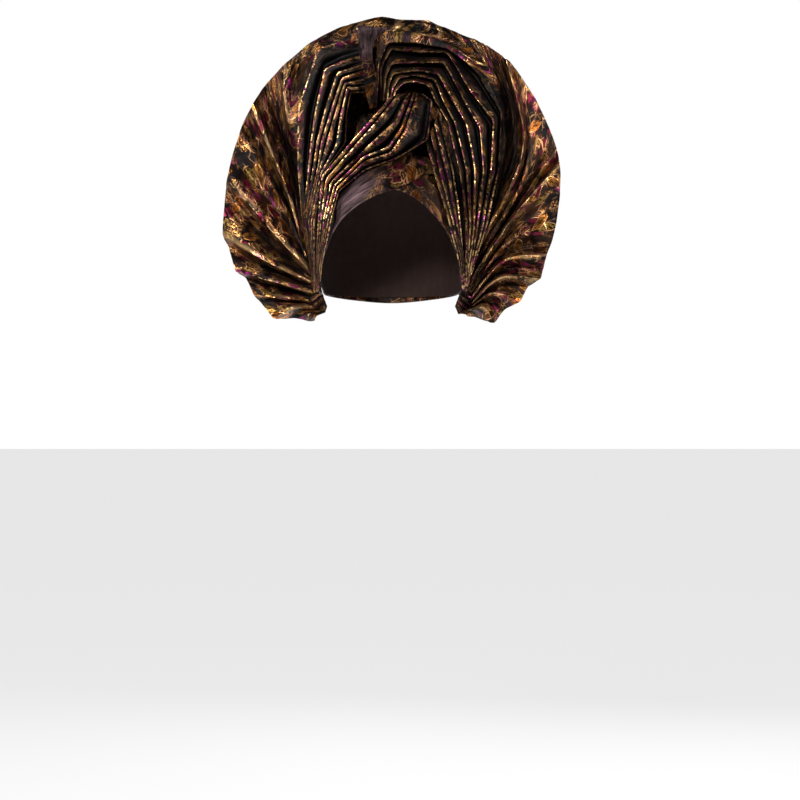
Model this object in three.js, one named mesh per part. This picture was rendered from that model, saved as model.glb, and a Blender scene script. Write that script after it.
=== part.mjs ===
// A tied gele head tie: pleated cloth wrapped round an open head hollow and spread into a fan.
// Millimetres, +Z up, the face looks along -Y. The origin is the inside of the crown's top.
import * as THREE from 'three';
import { mergeVertices } from 'three/addons/utils/BufferGeometryUtils.js';

// Head hollow.
const headWidth = 154;
const headLength = 196;
const templeDrop = 95;
const earDrop = 150;
const earTaper = 0.1;

// Fan.
const fanRadius = 175;
const fanCentreDrop = 36;
const rimSetBack = 34;
const rootSetBack = 18;
const seatSetBack = 26;
const seatEndDrop = 162;
const stackDepth = 60;

// Place that the outline is drawn from, in front of the face. A point that lies further back
// is set a little further out, so that it keeps its place in the outline.
const viewX = 9.4;
const viewDrop = 260.4;
const viewDistance = 2600;

// Cloth.
const wrapWall = 1.2;
const pleatWall = 1;
const layerGap = 0.6;
const pleatClearance = 0.95;
const mitreLimit = 2.6;

// Fold depths, from a ridge back to its valley.
const fanFoldDepth = 22;
const archFoldDepth = 18;
const earFoldDepth = 5;
const sashFoldDepth = 14;

// Knot at the nape.
const knotWidth = 44;
const knotHeight = 30;
const knotThickness = 17;
const knotDrop = 128;
const knotCrease = 0.3;
const knotCreaseWidth = 0.22;
const knotSeatShare = 0.4;
const knotSegments = 20;
const knotRings = 14;

// Distances of the layers from the head hollow, measured to the middle of each wall.
const capOffset = wrapWall / 2;
const innerWrapOffset = capOffset + wrapWall + layerGap;
const outerWrapOffset = innerWrapOffset + wrapWall + layerGap;
const pleatOffset = outerWrapOffset + wrapWall / 2 + pleatWall / 2 + pleatClearance;
const seatGap = wrapWall / 2 + pleatWall / 2 + layerGap;

// Drops between which the end of the left band thins out on the right side of the head.
const leftBandEndDrop = 50;
const leftBandPastDrop = 70;

const degrees = Math.PI / 180;

// Share of the head's full width that is left at a height, for a layer at an offset.
function headShare(z, offset) {
  const level = z + templeDrop;
  if (level > 0) {
    return Math.sqrt(Math.max(0, 1 - (level / (templeDrop + offset)) ** 2));
  }
  return 1 - earTaper * (level / (earDrop - templeDrop)) ** 2;
}

// Point at an azimuth round the head: 0 is the forehead, 90 the right ear, -90 the left ear.
function headPoint(azimuth, z, offset) {
  const share = headShare(z, offset);
  return new THREE.Vector3(
    (headWidth / 2 + offset) * share * Math.sin(azimuth * degrees),
    -(headLength / 2 + offset) * share * Math.cos(azimuth * degrees),
    z,
  );
}

// Offset that clears the bands at a height: on the right, only the lower band reaches the ear.
function clearOffset(x, z) {
  const past = x > 0 ? THREE.MathUtils.smoothstep(-z, leftBandEndDrop, leftBandPastDrop) : 0;
  return pleatOffset - past * (wrapWall + layerGap);
}

// Moves a point that lies too near the head out to the given offset.
function keepOffHead(point, offset) {
  const a = headWidth / 2 + offset;
  const b = headLength / 2 + offset;
  const share = headShare(point.z, offset);
  const reach = Math.hypot(point.x / a, point.y / b);
  if (reach >= share || reach === 0) {
    return point;
  }
  return new THREE.Vector3(point.x * share / reach, point.y * share / reach, point.z);
}

// Point of the fan from shares of its radius: across, up, and a set-back in millimetres.
function fanPoint([across, up], setBack) {
  const grow = 1 + setBack / viewDistance;
  return new THREE.Vector3(
    viewX + (across * fanRadius - viewX) * grow,
    setBack,
    -viewDrop + (up * fanRadius - fanCentreDrop + viewDrop) * grow,
  );
}

// Smooth curve through key points, read at evenly spaced shares of its length.
function alongCurve(points, count) {
  const curve = new THREE.CatmullRomCurve3(points, false, 'centripetal');
  return Array.from({ length: count }, (_, i) => curve.getPointAt(i / (count - 1)));
}

// Closed body with an even wall round a grid of points, rows by columns.
function sheetGeometry(grid, wall) {
  const rows = grid.length;
  const columns = grid[0].length;
  const faceNormal = (i, j) => {
    const rise = grid[i + 1][j + 1].clone().sub(grid[i][j]);
    const run = grid[i + 1][j].clone().sub(grid[i][j + 1]);
    return run.cross(rise).normalize();
  };
  const pointNormal = (i, j) => {
    const around = [];
    for (const a of [i - 1, i]) {
      for (const b of [j - 1, j]) {
        if (a >= 0 && b >= 0 && a < rows - 1 && b < columns - 1) {
          around.push(faceNormal(a, b));
        }
      }
    }
    const normal = around.reduce((sum, n) => sum.add(n), new THREE.Vector3()).normalize();
    const lean = around.reduce((sum, n) => sum + Math.abs(n.dot(normal)), 0) / around.length;
    return normal.multiplyScalar(Math.min(mitreLimit, 1 / Math.max(lean, 0.01)));
  };
  const vertices = [];
  for (const side of [0.5, -0.5]) {
    for (let i = 0; i < rows; i += 1) {
      for (let j = 0; j < columns; j += 1) {
        const point = grid[i][j].clone().addScaledVector(pointNormal(i, j), side * wall);
        vertices.push(point.x, point.y, point.z);
      }
    }
  }
  const front = (i, j) => i * columns + j;
  const back = (i, j) => rows * columns + i * columns + j;
  const triangles = [];
  const quad = (a, b, c, d) => triangles.push(a, b, c, a, c, d);
  for (let i = 0; i < rows - 1; i += 1) {
    for (let j = 0; j < columns - 1; j += 1) {
      quad(front(i, j), front(i + 1, j), front(i + 1, j + 1), front(i, j + 1));
      quad(back(i, j), back(i, j + 1), back(i + 1, j + 1), back(i + 1, j));
    }
  }
  for (let i = 0; i < rows - 1; i += 1) {
    quad(front(i, 0), back(i, 0), back(i + 1, 0), front(i + 1, 0));
    const last = columns - 1;
    quad(front(i, last), front(i + 1, last), back(i + 1, last), back(i, last));
  }
  for (let j = 0; j < columns - 1; j += 1) {
    quad(front(0, j), front(0, j + 1), back(0, j + 1), back(0, j));
    const last = rows - 1;
    quad(front(last, j), back(last, j), back(last, j + 1), front(last, j + 1));
  }
  return closedGeometry(vertices, triangles);
}

// Geometry whose faces point out, whatever way round the triangles were listed.
function closedGeometry(vertices, triangles) {
  const corner = (k) => new THREE.Vector3().fromArray(vertices, triangles[k] * 3);
  let volume = 0;
  for (let k = 0; k < triangles.length; k += 3) {
    volume += corner(k).dot(corner(k + 1).cross(corner(k + 2)));
  }
  if (volume < 0) {
    triangles.reverse();
  }
  const geometry = new THREE.BufferGeometry();
  geometry.setAttribute('position', new THREE.Float32BufferAttribute(vertices, 3));
  geometry.setIndex(triangles);
  geometry.computeVertexNormals();
  return geometry;
}

// Colours of the cloth.
const brocade = { color: 0x2a1a10, roughness: 0.42, metalness: 0.35 };
const brocadeGold = { color: 0x6b4a1e, roughness: 0.36, metalness: 0.5 };
const satin = { color: 0x3c3036, roughness: 0.4, metalness: 0.15 };

const headTie = new THREE.Group();

function addPiece(name, geometry, cloth) {
  const mesh = new THREE.Mesh(geometry, new THREE.MeshStandardMaterial(cloth));
  mesh.name = name;
  headTie.add(mesh);
  return mesh;
}

// Crown cap: rings of points from the crown's top down to the edge, round the whole head.
const capEdge = [
  { azimuth: 0, drop: 0.26 },
  { azimuth: 40, drop: 0.48 },
  { azimuth: 75, drop: 0.74 },
  { azimuth: 96, drop: 0.97 },
  { azimuth: 140, drop: 0.99 },
  { azimuth: 180, drop: 1 },
];
const capSegments = 40;
const capRings = 11;

// Value of a column at a position between the rows of a table.
function fromTable(table, key, position, column) {
  const last = table.length - 1;
  const at = table.findIndex((row, i) => i === last || position <= table[i + 1][key]);
  const i = Math.min(at, last - 1);
  const span = table[i + 1][key] - table[i][key];
  const share = THREE.MathUtils.clamp((position - table[i][key]) / span, 0, 1);
  return THREE.MathUtils.lerp(table[i][column], table[i + 1][column], share);
}

function crownCap() {
  const vertices = [];
  for (const side of [1, -1]) {
    const offset = capOffset + side * wrapWall / 2;
    vertices.push(0, 0, offset);
    for (let ring = 1; ring <= capRings; ring += 1) {
      for (let s = 0; s < capSegments; s += 1) {
        const azimuth = 360 * s / capSegments;
        const drop = fromTable(capEdge, 'azimuth', Math.min(azimuth, 360 - azimuth), 'drop');
        // Even steps of slope near the top, so the rings follow the curve of the crown.
        const share = 1 - Math.cos(ring / capRings * 90 * degrees);
        const z = offset * (1 - share) - share * drop * earDrop;
        vertices.push(...headPoint(azimuth, z, offset).toArray());
      }
    }
  }
  const sideSize = 1 + capRings * capSegments;
  const at = (side, ring, s) => side * sideSize
    + (ring === 0 ? 0 : 1 + (ring - 1) * capSegments + s % capSegments);
  const triangles = [];
  for (let s = 0; s < capSegments; s += 1) {
    triangles.push(at(0, 0), at(0, 1, s), at(0, 1, s + 1));
    triangles.push(at(1, 0), at(1, 1, s + 1), at(1, 1, s));
    for (let ring = 1; ring < capRings; ring += 1) {
      triangles.push(at(0, ring, s), at(0, ring + 1, s), at(0, ring + 1, s + 1));
      triangles.push(at(0, ring, s), at(0, ring + 1, s + 1), at(0, ring, s + 1));
      triangles.push(at(1, ring, s), at(1, ring + 1, s + 1), at(1, ring + 1, s));
      triangles.push(at(1, ring, s), at(1, ring, s + 1), at(1, ring + 1, s + 1));
    }
    triangles.push(at(0, capRings, s), at(1, capRings, s), at(1, capRings, s + 1));
    triangles.push(at(0, capRings, s), at(1, capRings, s + 1), at(0, capRings, s + 1));
  }
  return closedGeometry(vertices, triangles);
}
addPiece('crown_cap', crownCap(), brocade);

// Bands round the head. Drops are shares of the ear drop, low edge and high edge.
const leftBand = [
  { azimuth: -100, low: 1.0, high: 0.62 },
  { azimuth: -85, low: 0.98, high: 0.5 },
  { azimuth: -62, low: 0.8, high: 0.36 },
  { azimuth: -38, low: 0.52, high: 0.22 },
  { azimuth: -15, low: 0.38, high: 0.12 },
  { azimuth: 7, low: 0.31, high: 0.06 },
  { azimuth: 34, low: 0.21, high: 0.03 },
  { azimuth: 56, low: 0.2, high: 0.05 },
];
const rightBand = [
  { azimuth: -30, low: 0.3, high: 0.12 },
  { azimuth: -8, low: 0.31, high: 0.1 },
  { azimuth: 14, low: 0.35, high: 0.12 },
  { azimuth: 38, low: 0.52, high: 0.26 },
  { azimuth: 62, low: 0.78, high: 0.42 },
  { azimuth: 85, low: 0.98, high: 0.54 },
  { azimuth: 100, low: 1.0, high: 0.62 },
];
const backBand = [
  { azimuth: 104, low: 1.0, high: 0.6 },
  { azimuth: 140, low: 1.02, high: 0.58 },
  { azimuth: 180, low: 1.04, high: 0.56 },
  { azimuth: 220, low: 1.02, high: 0.58 },
  { azimuth: 256, low: 1.0, high: 0.6 },
];
const bandSteps = 8;

function headBand(table, offset, azimuthStep) {
  const first = table[0].azimuth;
  const last = table[table.length - 1].azimuth;
  const count = Math.ceil((last - first) / azimuthStep);
  const edge = (column) => new THREE.CatmullRomCurve3(
    table.map((row) => new THREE.Vector3(row.azimuth, 0, row[column] * earDrop)),
  ).getPoints(count);
  const low = edge('low');
  const high = edge('high');
  return low.map((lowPoint, i) => Array.from({ length: bandSteps + 1 }, (_, j) => {
    const share = j / bandSteps;
    const azimuth = THREE.MathUtils.lerp(lowPoint.x, high[i].x, share);
    const z = -THREE.MathUtils.lerp(lowPoint.z, high[i].z, share);
    return headPoint(azimuth, z, offset);
  }));
}
const azimuthStep = 6;
addPiece('forehead_wrap_right',
  sheetGeometry(headBand(rightBand, innerWrapOffset, azimuthStep), wrapWall), brocade);
addPiece('forehead_wrap_left',
  sheetGeometry(headBand(leftBand, outerWrapOffset, azimuthStep), wrapWall), satin);
addPiece('back_wrap',
  sheetGeometry(headBand(backBand, innerWrapOffset, azimuthStep), wrapWall), brocade);

// Outer fan: the line that the folds start from, ear to ear over the arches.
const fanRoot = [
  { at: [-0.39, -0.76], back: 2.2 },
  { at: [-0.45, -0.74], back: 2 },
  { at: [-0.48, -0.68], back: 1.7 },
  { at: [-0.46, -0.61], back: 1.3 },
  { at: [-0.53, -0.33], back: 1 },
  { at: [-0.55, 0.12], back: 1 },
  { at: [-0.55, 0.45], back: 1 },
  { at: [-0.52, 0.66], back: 1 },
  { at: [-0.43, 0.82], back: 1.2 },
  { at: [-0.27, 0.87], back: 1.3 },
  { at: [-0.04, 0.91], back: 1.3 },
  { at: [0.14, 0.9], back: 1.3 },
  { at: [0.35, 0.83], back: 1.2 },
  { at: [0.53, 0.67], back: 1.1 },
  { at: [0.66, 0.43], back: 1 },
  { at: [0.65, 0.08], back: 1 },
  { at: [0.56, -0.27], back: 1 },
  { at: [0.48, -0.51], back: 1.2 },
  { at: [0.47, -0.6], back: 1.4 },
  { at: [0.48, -0.67], back: 1.7 },
  { at: [0.46, -0.74], back: 2 },
  { at: [0.4, -0.77], back: 2.2 },
];
// Folds: where each starts along the root line, its middle, its end on the rim, and how far
// it stands forward (ridge) or back (valley) as a share of the fold depth.
const fanFolds = [
  { start: 0, middle: [-0.44, -0.79], rim: [-0.42, -0.8], stand: 0 },
  { start: 0.007, middle: [-0.49, -0.775], rim: [-0.49, -0.815], stand: 0.3 },
  { start: 0.013, middle: [-0.53, -0.755], rim: [-0.575, -0.79], stand: -0.3 },
  { start: 0.019, middle: [-0.575, -0.735], rim: [-0.7, -0.797], stand: 0.5 },
  { start: 0.025, middle: [-0.59, -0.695], rim: [-0.775, -0.7], stand: -0.3 },
  { start: 0.03, middle: [-0.615, -0.68], rim: [-0.815, -0.66], stand: 0.5 },
  { start: 0.038, middle: [-0.625, -0.625], rim: [-0.862, -0.555], stand: -0.6 },
  { start: 0.043, middle: [-0.65, -0.59], rim: [-0.925, -0.52], stand: 0.6 },
  { start: 0.052, middle: [-0.67, -0.525], rim: [-0.965, -0.37], stand: -0.6 },
  { start: 0.058, middle: [-0.7, -0.485], rim: [-1.005, -0.3], stand: 0.7 },
  { start: 0.068, middle: [-0.68, -0.385], rim: [-0.985, -0.05], stand: -0.6 },
  { start: 0.074, middle: [-0.66, -0.33], rim: [-0.975, 0.03], stand: 0.65 },
  { start: 0.084, middle: [-0.645, -0.2], rim: [-0.945, 0.17], stand: -0.2 },
  { start: 0.093, middle: [-0.635, -0.13], rim: [-0.905, 0.3], stand: 0.15 },
  { start: 0.103, middle: [-0.625, -0.12], rim: [-0.865, 0.4], stand: -0.6 },
  { start: 0.11, middle: [-0.605, -0.075], rim: [-0.83, 0.47], stand: 0.85 },
  { start: 0.17, middle: [-0.59, 0.1], rim: [-0.75, 0.59], stand: -0.8 },
  { start: 0.29, middle: [-0.61, 0.39], rim: [-0.64, 0.71], stand: 0.3 },
  { start: 0.36, middle: [-0.55, 0.65], rim: [-0.49, 0.84], stand: -0.4 },
  { start: 0.4, middle: [-0.45, 0.84], rim: [-0.36, 0.91], stand: 0.3 },
  { start: 0.43, middle: [-0.33, 0.9], rim: [-0.26, 0.95], stand: -0.2 },
  { start: 0.455, middle: [-0.2, 0.93], rim: [-0.15, 0.98], stand: 0.3 },
  { start: 0.48, middle: [-0.08, 0.95], rim: [-0.05, 1], stand: 0 },
  { start: 0.5, middle: [0.04, 0.94], rim: [0.07, 0.98], stand: 0.3 },
  { start: 0.52, middle: [0.17, 0.93], rim: [0.22, 0.98], stand: -0.2 },
  { start: 0.54, middle: [0.28, 0.89], rim: [0.28, 0.95], stand: 0.3 },
  { start: 0.565, middle: [0.42, 0.83], rim: [0.4, 0.9], stand: -0.3 },
  { start: 0.6, middle: [0.56, 0.71], rim: [0.5, 0.865], stand: 0.3 },
  { start: 0.7, middle: [0.7, 0.5], rim: [0.585, 0.82], stand: -0.5 },
  { start: 0.86, middle: [0.755, 0.26], rim: [0.65, 0.775], stand: -0.8 },
  { start: 0.885, middle: [0.785, 0.22], rim: [0.685, 0.75], stand: 0.8 },
  { start: 0.9, middle: [0.79, 0.1], rim: [0.78, 0.635], stand: -0.2 },
  { start: 0.912, middle: [0.785, 0.03], rim: [0.86, 0.515], stand: 0.15 },
  { start: 0.923, middle: [0.78, -0.03], rim: [0.935, 0.355], stand: -0.1 },
  { start: 0.933, middle: [0.77, -0.09], rim: [0.985, 0.22], stand: -0.6 },
  { start: 0.94, middle: [0.745, -0.17], rim: [1.005, 0.12], stand: 0.8 },
  { start: 0.948, middle: [0.715, -0.27], rim: [1.005, -0.06], stand: -0.2 },
  { start: 0.955, middle: [0.7, -0.34], rim: [0.985, -0.22], stand: 0.2 },
  { start: 0.961, middle: [0.69, -0.4], rim: [0.955, -0.35], stand: -0.5 },
  { start: 0.966, middle: [0.68, -0.445], rim: [0.925, -0.425], stand: 0.6 },
  { start: 0.971, middle: [0.665, -0.51], rim: [0.905, -0.5], stand: -0.4 },
  { start: 0.976, middle: [0.65, -0.555], rim: [0.893, -0.56], stand: 0.5 },
  { start: 0.981, middle: [0.635, -0.6], rim: [0.815, -0.605], stand: -0.5 },
  { start: 0.985, middle: [0.62, -0.645], rim: [0.77, -0.7], stand: 0.5 },
  { start: 0.989, middle: [0.575, -0.69], rim: [0.675, -0.744], stand: -0.4 },
  { start: 0.993, middle: [0.55, -0.73], rim: [0.613, -0.825], stand: 0.5 },
  { start: 0.997, middle: [0.48, -0.755], rim: [0.5, -0.785], stand: -0.3 },
  { start: 1, middle: [0.43, -0.77], rim: [0.42, -0.8], stand: 0 },
];
const fanSteps = 10;

// Seat of the fan's sheet on the crown, from under the left ear (share 0) to under the right.
// It climbs onto the bands between two angles, counted from the level of the temples.
const seatSweep = 250;
const templeAngle = 90;
const seatClimb = { from: -25, to: -12 };

function fanSeat(share) {
  const angle = (share - 0.5) * seatSweep;
  const beyond = Math.abs(angle) - templeAngle;
  const overBands = THREE.MathUtils.smoothstep(beyond, seatClimb.from, seatClimb.to);
  const offset = THREE.MathUtils.lerp(capOffset, outerWrapOffset, overBands) + seatGap;
  const width = headWidth / 2 + offset;
  const slice = 1 - (seatSetBack / (headLength / 2 + offset)) ** 2;
  if (beyond < 0) {
    return new THREE.Vector3(
      width * Math.sqrt(slice) * Math.sin(angle * degrees),
      seatSetBack,
      -templeDrop + (templeDrop + offset) * Math.sqrt(slice) * Math.cos(angle * degrees),
    );
  }
  const past = beyond / (seatSweep / 2 - templeAngle);
  const z = -templeDrop - past * (seatEndDrop - templeDrop);
  const across = width * Math.sqrt(headShare(z, offset) ** 2 - (1 - slice));
  return new THREE.Vector3(Math.sign(angle) * across, seatSetBack, z);
}

// Folds of the table with more in between, so no two start further apart than the given share.
const widestStep = 0.045;
function evenFolds(folds, widest) {
  const all = [folds[0]];
  for (let i = 1; i < folds.length; i += 1) {
    const [a, b] = [folds[i - 1], folds[i]];
    const count = Math.ceil((b.start - a.start) / widest);
    for (let k = 1; k <= count; k += 1) {
      const mix = (from, to) => THREE.MathUtils.lerp(from, to, k / count);
      all.push({
        start: mix(a.start, b.start),
        middle: a.middle.map((value, axis) => mix(value, b.middle[axis])),
        rim: a.rim.map((value, axis) => mix(value, b.rim[axis])),
        stand: mix(a.stand, b.stand),
      });
    }
  }
  return all;
}

function outerFan() {
  const root = new THREE.CatmullRomCurve3(
    fanRoot.map((row) => fanPoint(row.at, row.back * rootSetBack)), false, 'centripetal',
  );
  return evenFolds(fanFolds, widestStep).map((fold) => {
    const start = root.getPointAt(fold.start);
    start.y -= start.z < -templeDrop ? fold.stand * earFoldDepth : 0;
    const depth = fold.stand * fanFoldDepth;
    const middle = fanPoint(fold.middle, (rootSetBack + rimSetBack) / 2 - depth);
    const rim = fanPoint(fold.rim, rimSetBack - depth / 2);
    const seat = fanSeat(fold.start);
    return [seat, ...alongCurve([start, middle, rim], fanSteps - 1)];
  });
}
addPiece('outer_fan', sheetGeometry(outerFan(), pleatWall), brocadeGold);

// Stations of a fold. Those on the head give an azimuth, a drop and how far the ridge stands
// off; those in the air give shares of the fan's radius and how far forward in the stack.
const onHead = (azimuth, drop, stand) => ({ azimuth, drop, stand });
const inAir = (across, up, front) => ({ across, up, front });

function stationPoint(station, isRidge) {
  if (station.azimuth !== undefined) {
    const z = -station.drop * earDrop;
    const offset = clearOffset(station.azimuth, z) + (isRidge ? station.stand * earFoldDepth : 0);
    return headPoint(station.azimuth, z, offset);
  }
  return fanPoint([station.across, station.up], rootSetBack - station.front * stackDepth);
}

const clearOfBands = (point) => keepOffHead(point, clearOffset(point.x, point.z));

function middleStation(a, b) {
  const mean = (column) => (a[column] + b[column]) / 2;
  return a.azimuth === undefined
    ? inAir(mean('across'), mean('up'), mean('front'))
    : onHead(mean('azimuth'), mean('drop'), mean('stand'));
}

// Pleated sheet from a table of ridges. A valley lies behind each pair of ridges, and the
// sheet's two edges lie behind the first and the last ridge.
function pleats(ridges, foldDepth, depthShares, steps) {
  const stations = Object.keys(ridges[0]);
  const valley = (a, b) => stations.map((name) => {
    const point = stationPoint(middleStation(a[name], b[name]), false);
    point.y += foldDepth * depthShares[name];
    return clearOfBands(point);
  });
  const ridge = (row) => stations.map((name) => clearOfBands(stationPoint(row[name], true)));
  const lines = [valley(ridges[0], ridges[0])];
  ridges.forEach((row, i) => {
    lines.push(ridge(row));
    lines.push(valley(row, ridges[Math.min(i + 1, ridges.length - 1)]));
  });
  return lines.map((line) => alongCurve(line, steps).map(clearOfBands));
}

// Left arches, from the outermost ridge to the innermost.
const leftArches = [
  { foot: onHead(-99, 0.99, 1), low: onHead(-92, 0.52, 2), waist: inAir(-0.555, 0.08, 0.3),
    elbow: inAir(-0.555, 0.25, 0.3), shoulder: inAir(-0.55, 0.47, 0.3),
    kink: inAir(-0.43, 0.81, 0.3), top: inAir(-0.3, 0.85, 0.2),
    tuck: inAir(-0.15, 0.87, 0.05) },
  { foot: onHead(-96.5, 0.99, 1), low: onHead(-84, 0.52, 2), waist: inAir(-0.495, 0.08, 0.43),
    elbow: inAir(-0.478, 0.25, 0.43), shoulder: inAir(-0.45, 0.43, 0.4),
    kink: inAir(-0.395, 0.69, 0.42), top: inAir(-0.29, 0.735, 0.4),
    tuck: inAir(-0.14, 0.775, 0.26) },
  { foot: onHead(-94, 0.99, 1), low: onHead(-77, 0.52, 2), waist: inAir(-0.467, 0.08, 0.56),
    elbow: inAir(-0.442, 0.25, 0.56), shoulder: inAir(-0.4, 0.42, 0.52),
    kink: inAir(-0.32, 0.67, 0.54), top: inAir(-0.24, 0.695, 0.52),
    tuck: inAir(-0.14, 0.725, 0.38) },
  { foot: onHead(-91.5, 0.99, 1), low: onHead(-71.5, 0.52, 2),
    waist: inAir(-0.445, 0.08, 0.69), elbow: inAir(-0.412, 0.25, 0.69),
    shoulder: inAir(-0.367, 0.41, 0.63), kink: inAir(-0.292, 0.637, 0.64),
    top: inAir(-0.225, 0.66, 0.62), tuck: inAir(-0.14, 0.68, 0.46) },
  { foot: onHead(-89, 0.99, 1), low: onHead(-66.5, 0.52, 2), waist: inAir(-0.428, 0.08, 0.81),
    elbow: inAir(-0.378, 0.25, 0.81), shoulder: inAir(-0.335, 0.41, 0.74),
    kink: inAir(-0.275, 0.61, 0.74), top: inAir(-0.21, 0.62, 0.71),
    tuck: inAir(-0.14, 0.63, 0.54) },
  { foot: onHead(-86.5, 0.99, 1), low: onHead(-62, 0.52, 2), waist: inAir(-0.414, 0.08, 0.93),
    elbow: inAir(-0.325, 0.235, 0.93), shoulder: inAir(-0.295, 0.43, 0.85),
    kink: inAir(-0.262, 0.58, 0.82), top: inAir(-0.19, 0.58, 0.79),
    tuck: inAir(-0.14, 0.59, 0.62) },
  { foot: onHead(-84, 0.99, 1), low: onHead(-58.5, 0.52, 2), waist: inAir(-0.4, 0.07, 1.04),
    elbow: inAir(-0.27, 0.25, 1.04), shoulder: inAir(-0.265, 0.41, 0.95),
    kink: inAir(-0.24, 0.55, 0.9), top: inAir(-0.18, 0.55, 0.86),
    tuck: inAir(-0.13, 0.55, 0.68) },
];
const leftArchDepths = { foot: 0, low: 0, waist: 0.8, elbow: 0.9, shoulder: 0.9, kink: 0.9,
  top: 0.5, tuck: 0.12 };
const leftArchSteps = 16;
const leftArchGrid = pleats(leftArches, archFoldDepth, leftArchDepths, leftArchSteps);
addPiece('left_arch_pleats', sheetGeometry(leftArchGrid, pleatWall), brocadeGold);

// Right arches, from the outermost ridge to the innermost.
const rightArches = [
  { foot: onHead(97, 0.98, 1), low: onHead(94, 0.52, 4), waist: inAir(0.64, 0.08, 0.3),
    shoulder: inAir(0.66, 0.43, 0.3), bend: inAir(0.51, 0.68, 0.3),
    kink: inAir(0.345, 0.81, 0.3), top: inAir(0.13, 0.85, 0.27),
    corner: inAir(-0.02, 0.845, 0.24), side: inAir(-0.075, 0.72, 0.24),
    tuck: inAir(-0.075, 0.5, 0.24) },
  { foot: onHead(94.5, 0.98, 1), low: onHead(86, 0.52, 3.2), waist: inAir(0.595, 0.08, 0.45),
    shoulder: inAir(0.61, 0.38, 0.44), bend: inAir(0.47, 0.56, 0.45),
    kink: inAir(0.34, 0.785, 0.46), top: inAir(0.15, 0.79, 0.43), corner: inAir(0, 0.81, 0.38),
    side: inAir(-0.055, 0.7, 0.39), tuck: inAir(-0.06, 0.5, 0.4) },
  { foot: onHead(92, 0.98, 1), low: onHead(79, 0.52, 2.4), waist: inAir(0.55, 0.08, 0.6),
    shoulder: inAir(0.525, 0.34, 0.58), bend: inAir(0.42, 0.53, 0.58),
    kink: inAir(0.315, 0.73, 0.6), top: inAir(0.16, 0.725, 0.58), corner: inAir(0, 0.72, 0.52),
    side: inAir(-0.03, 0.64, 0.52), tuck: inAir(-0.045, 0.5, 0.52) },
  { foot: onHead(89.5, 0.98, 1), low: onHead(72, 0.52, 2), waist: inAir(0.5, 0.08, 0.74),
    shoulder: inAir(0.45, 0.36, 0.72), bend: inAir(0.36, 0.52, 0.72),
    kink: inAir(0.285, 0.655, 0.73), top: inAir(0.16, 0.68, 0.71),
    corner: inAir(0.015, 0.66, 0.65), side: inAir(-0.01, 0.6, 0.64),
    tuck: inAir(-0.02, 0.5, 0.63) },
  { foot: onHead(87, 0.98, 1), low: onHead(65, 0.52, 2), waist: inAir(0.45, 0.08, 0.87),
    shoulder: inAir(0.38, 0.37, 0.84), bend: inAir(0.31, 0.5, 0.84),
    kink: inAir(0.26, 0.625, 0.84), top: inAir(0.15, 0.65, 0.82),
    corner: inAir(0.05, 0.635, 0.76), side: inAir(0.01, 0.57, 0.74),
    tuck: inAir(-0.005, 0.5, 0.73) },
  { foot: onHead(84.5, 0.98, 1), low: onHead(59, 0.52, 2), waist: inAir(0.41, 0.08, 1),
    shoulder: inAir(0.335, 0.38, 0.95), bend: inAir(0.265, 0.5, 0.95),
    kink: inAir(0.225, 0.59, 0.94), top: inAir(0.14, 0.615, 0.92),
    corner: inAir(0.075, 0.605, 0.87), side: inAir(0.03, 0.56, 0.84),
    tuck: inAir(0.01, 0.5, 0.82) },
];
const rightArchDepths = { foot: 0, low: 0.1, waist: 0.8, shoulder: 0.9, bend: 0.9, kink: 0.9,
  top: 0.8, corner: 0.5, side: 0.4, tuck: 0.2 };
const rightArchSteps = 20;
const rightArchGrid = pleats(rightArches, archFoldDepth, rightArchDepths, rightArchSteps);
addPiece('right_arch_pleats', sheetGeometry(rightArchGrid, pleatWall), brocadeGold);

// Fine pleats over the right temple, from under the sash down to the ear.
const templePleats = [
  { foot: onHead(81.5, 0.98, 0.9), low: onHead(54, 0.52, 1.4), waist: inAir(0.37, 0.08, 1.1),
    tuck: inAir(0.285, 0.42, 0.9) },
  { foot: onHead(78.5, 0.98, 0.9), low: onHead(50.5, 0.52, 1.3),
    waist: inAir(0.335, 0.06, 1.17), tuck: inAir(0.26, 0.37, 0.92) },
  { foot: onHead(75.5, 0.98, 0.9), low: onHead(47, 0.52, 1.2), waist: inAir(0.3, 0.03, 1.25),
    tuck: inAir(0.235, 0.32, 0.94) },
  { foot: onHead(72.5, 0.98, 0.9), low: onHead(43.5, 0.52, 1.1), waist: inAir(0.26, 0, 1.33),
    tuck: inAir(0.205, 0.27, 0.95) },
];
const templeDepths = { foot: 0, low: 0, waist: 0.25, tuck: 0.3 };
const templeSteps = 13;
const templeGrid = pleats(templePleats, archFoldDepth, templeDepths, templeSteps);
addPiece('right_temple_pleats', sheetGeometry(templeGrid, pleatWall), brocadeGold);

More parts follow.
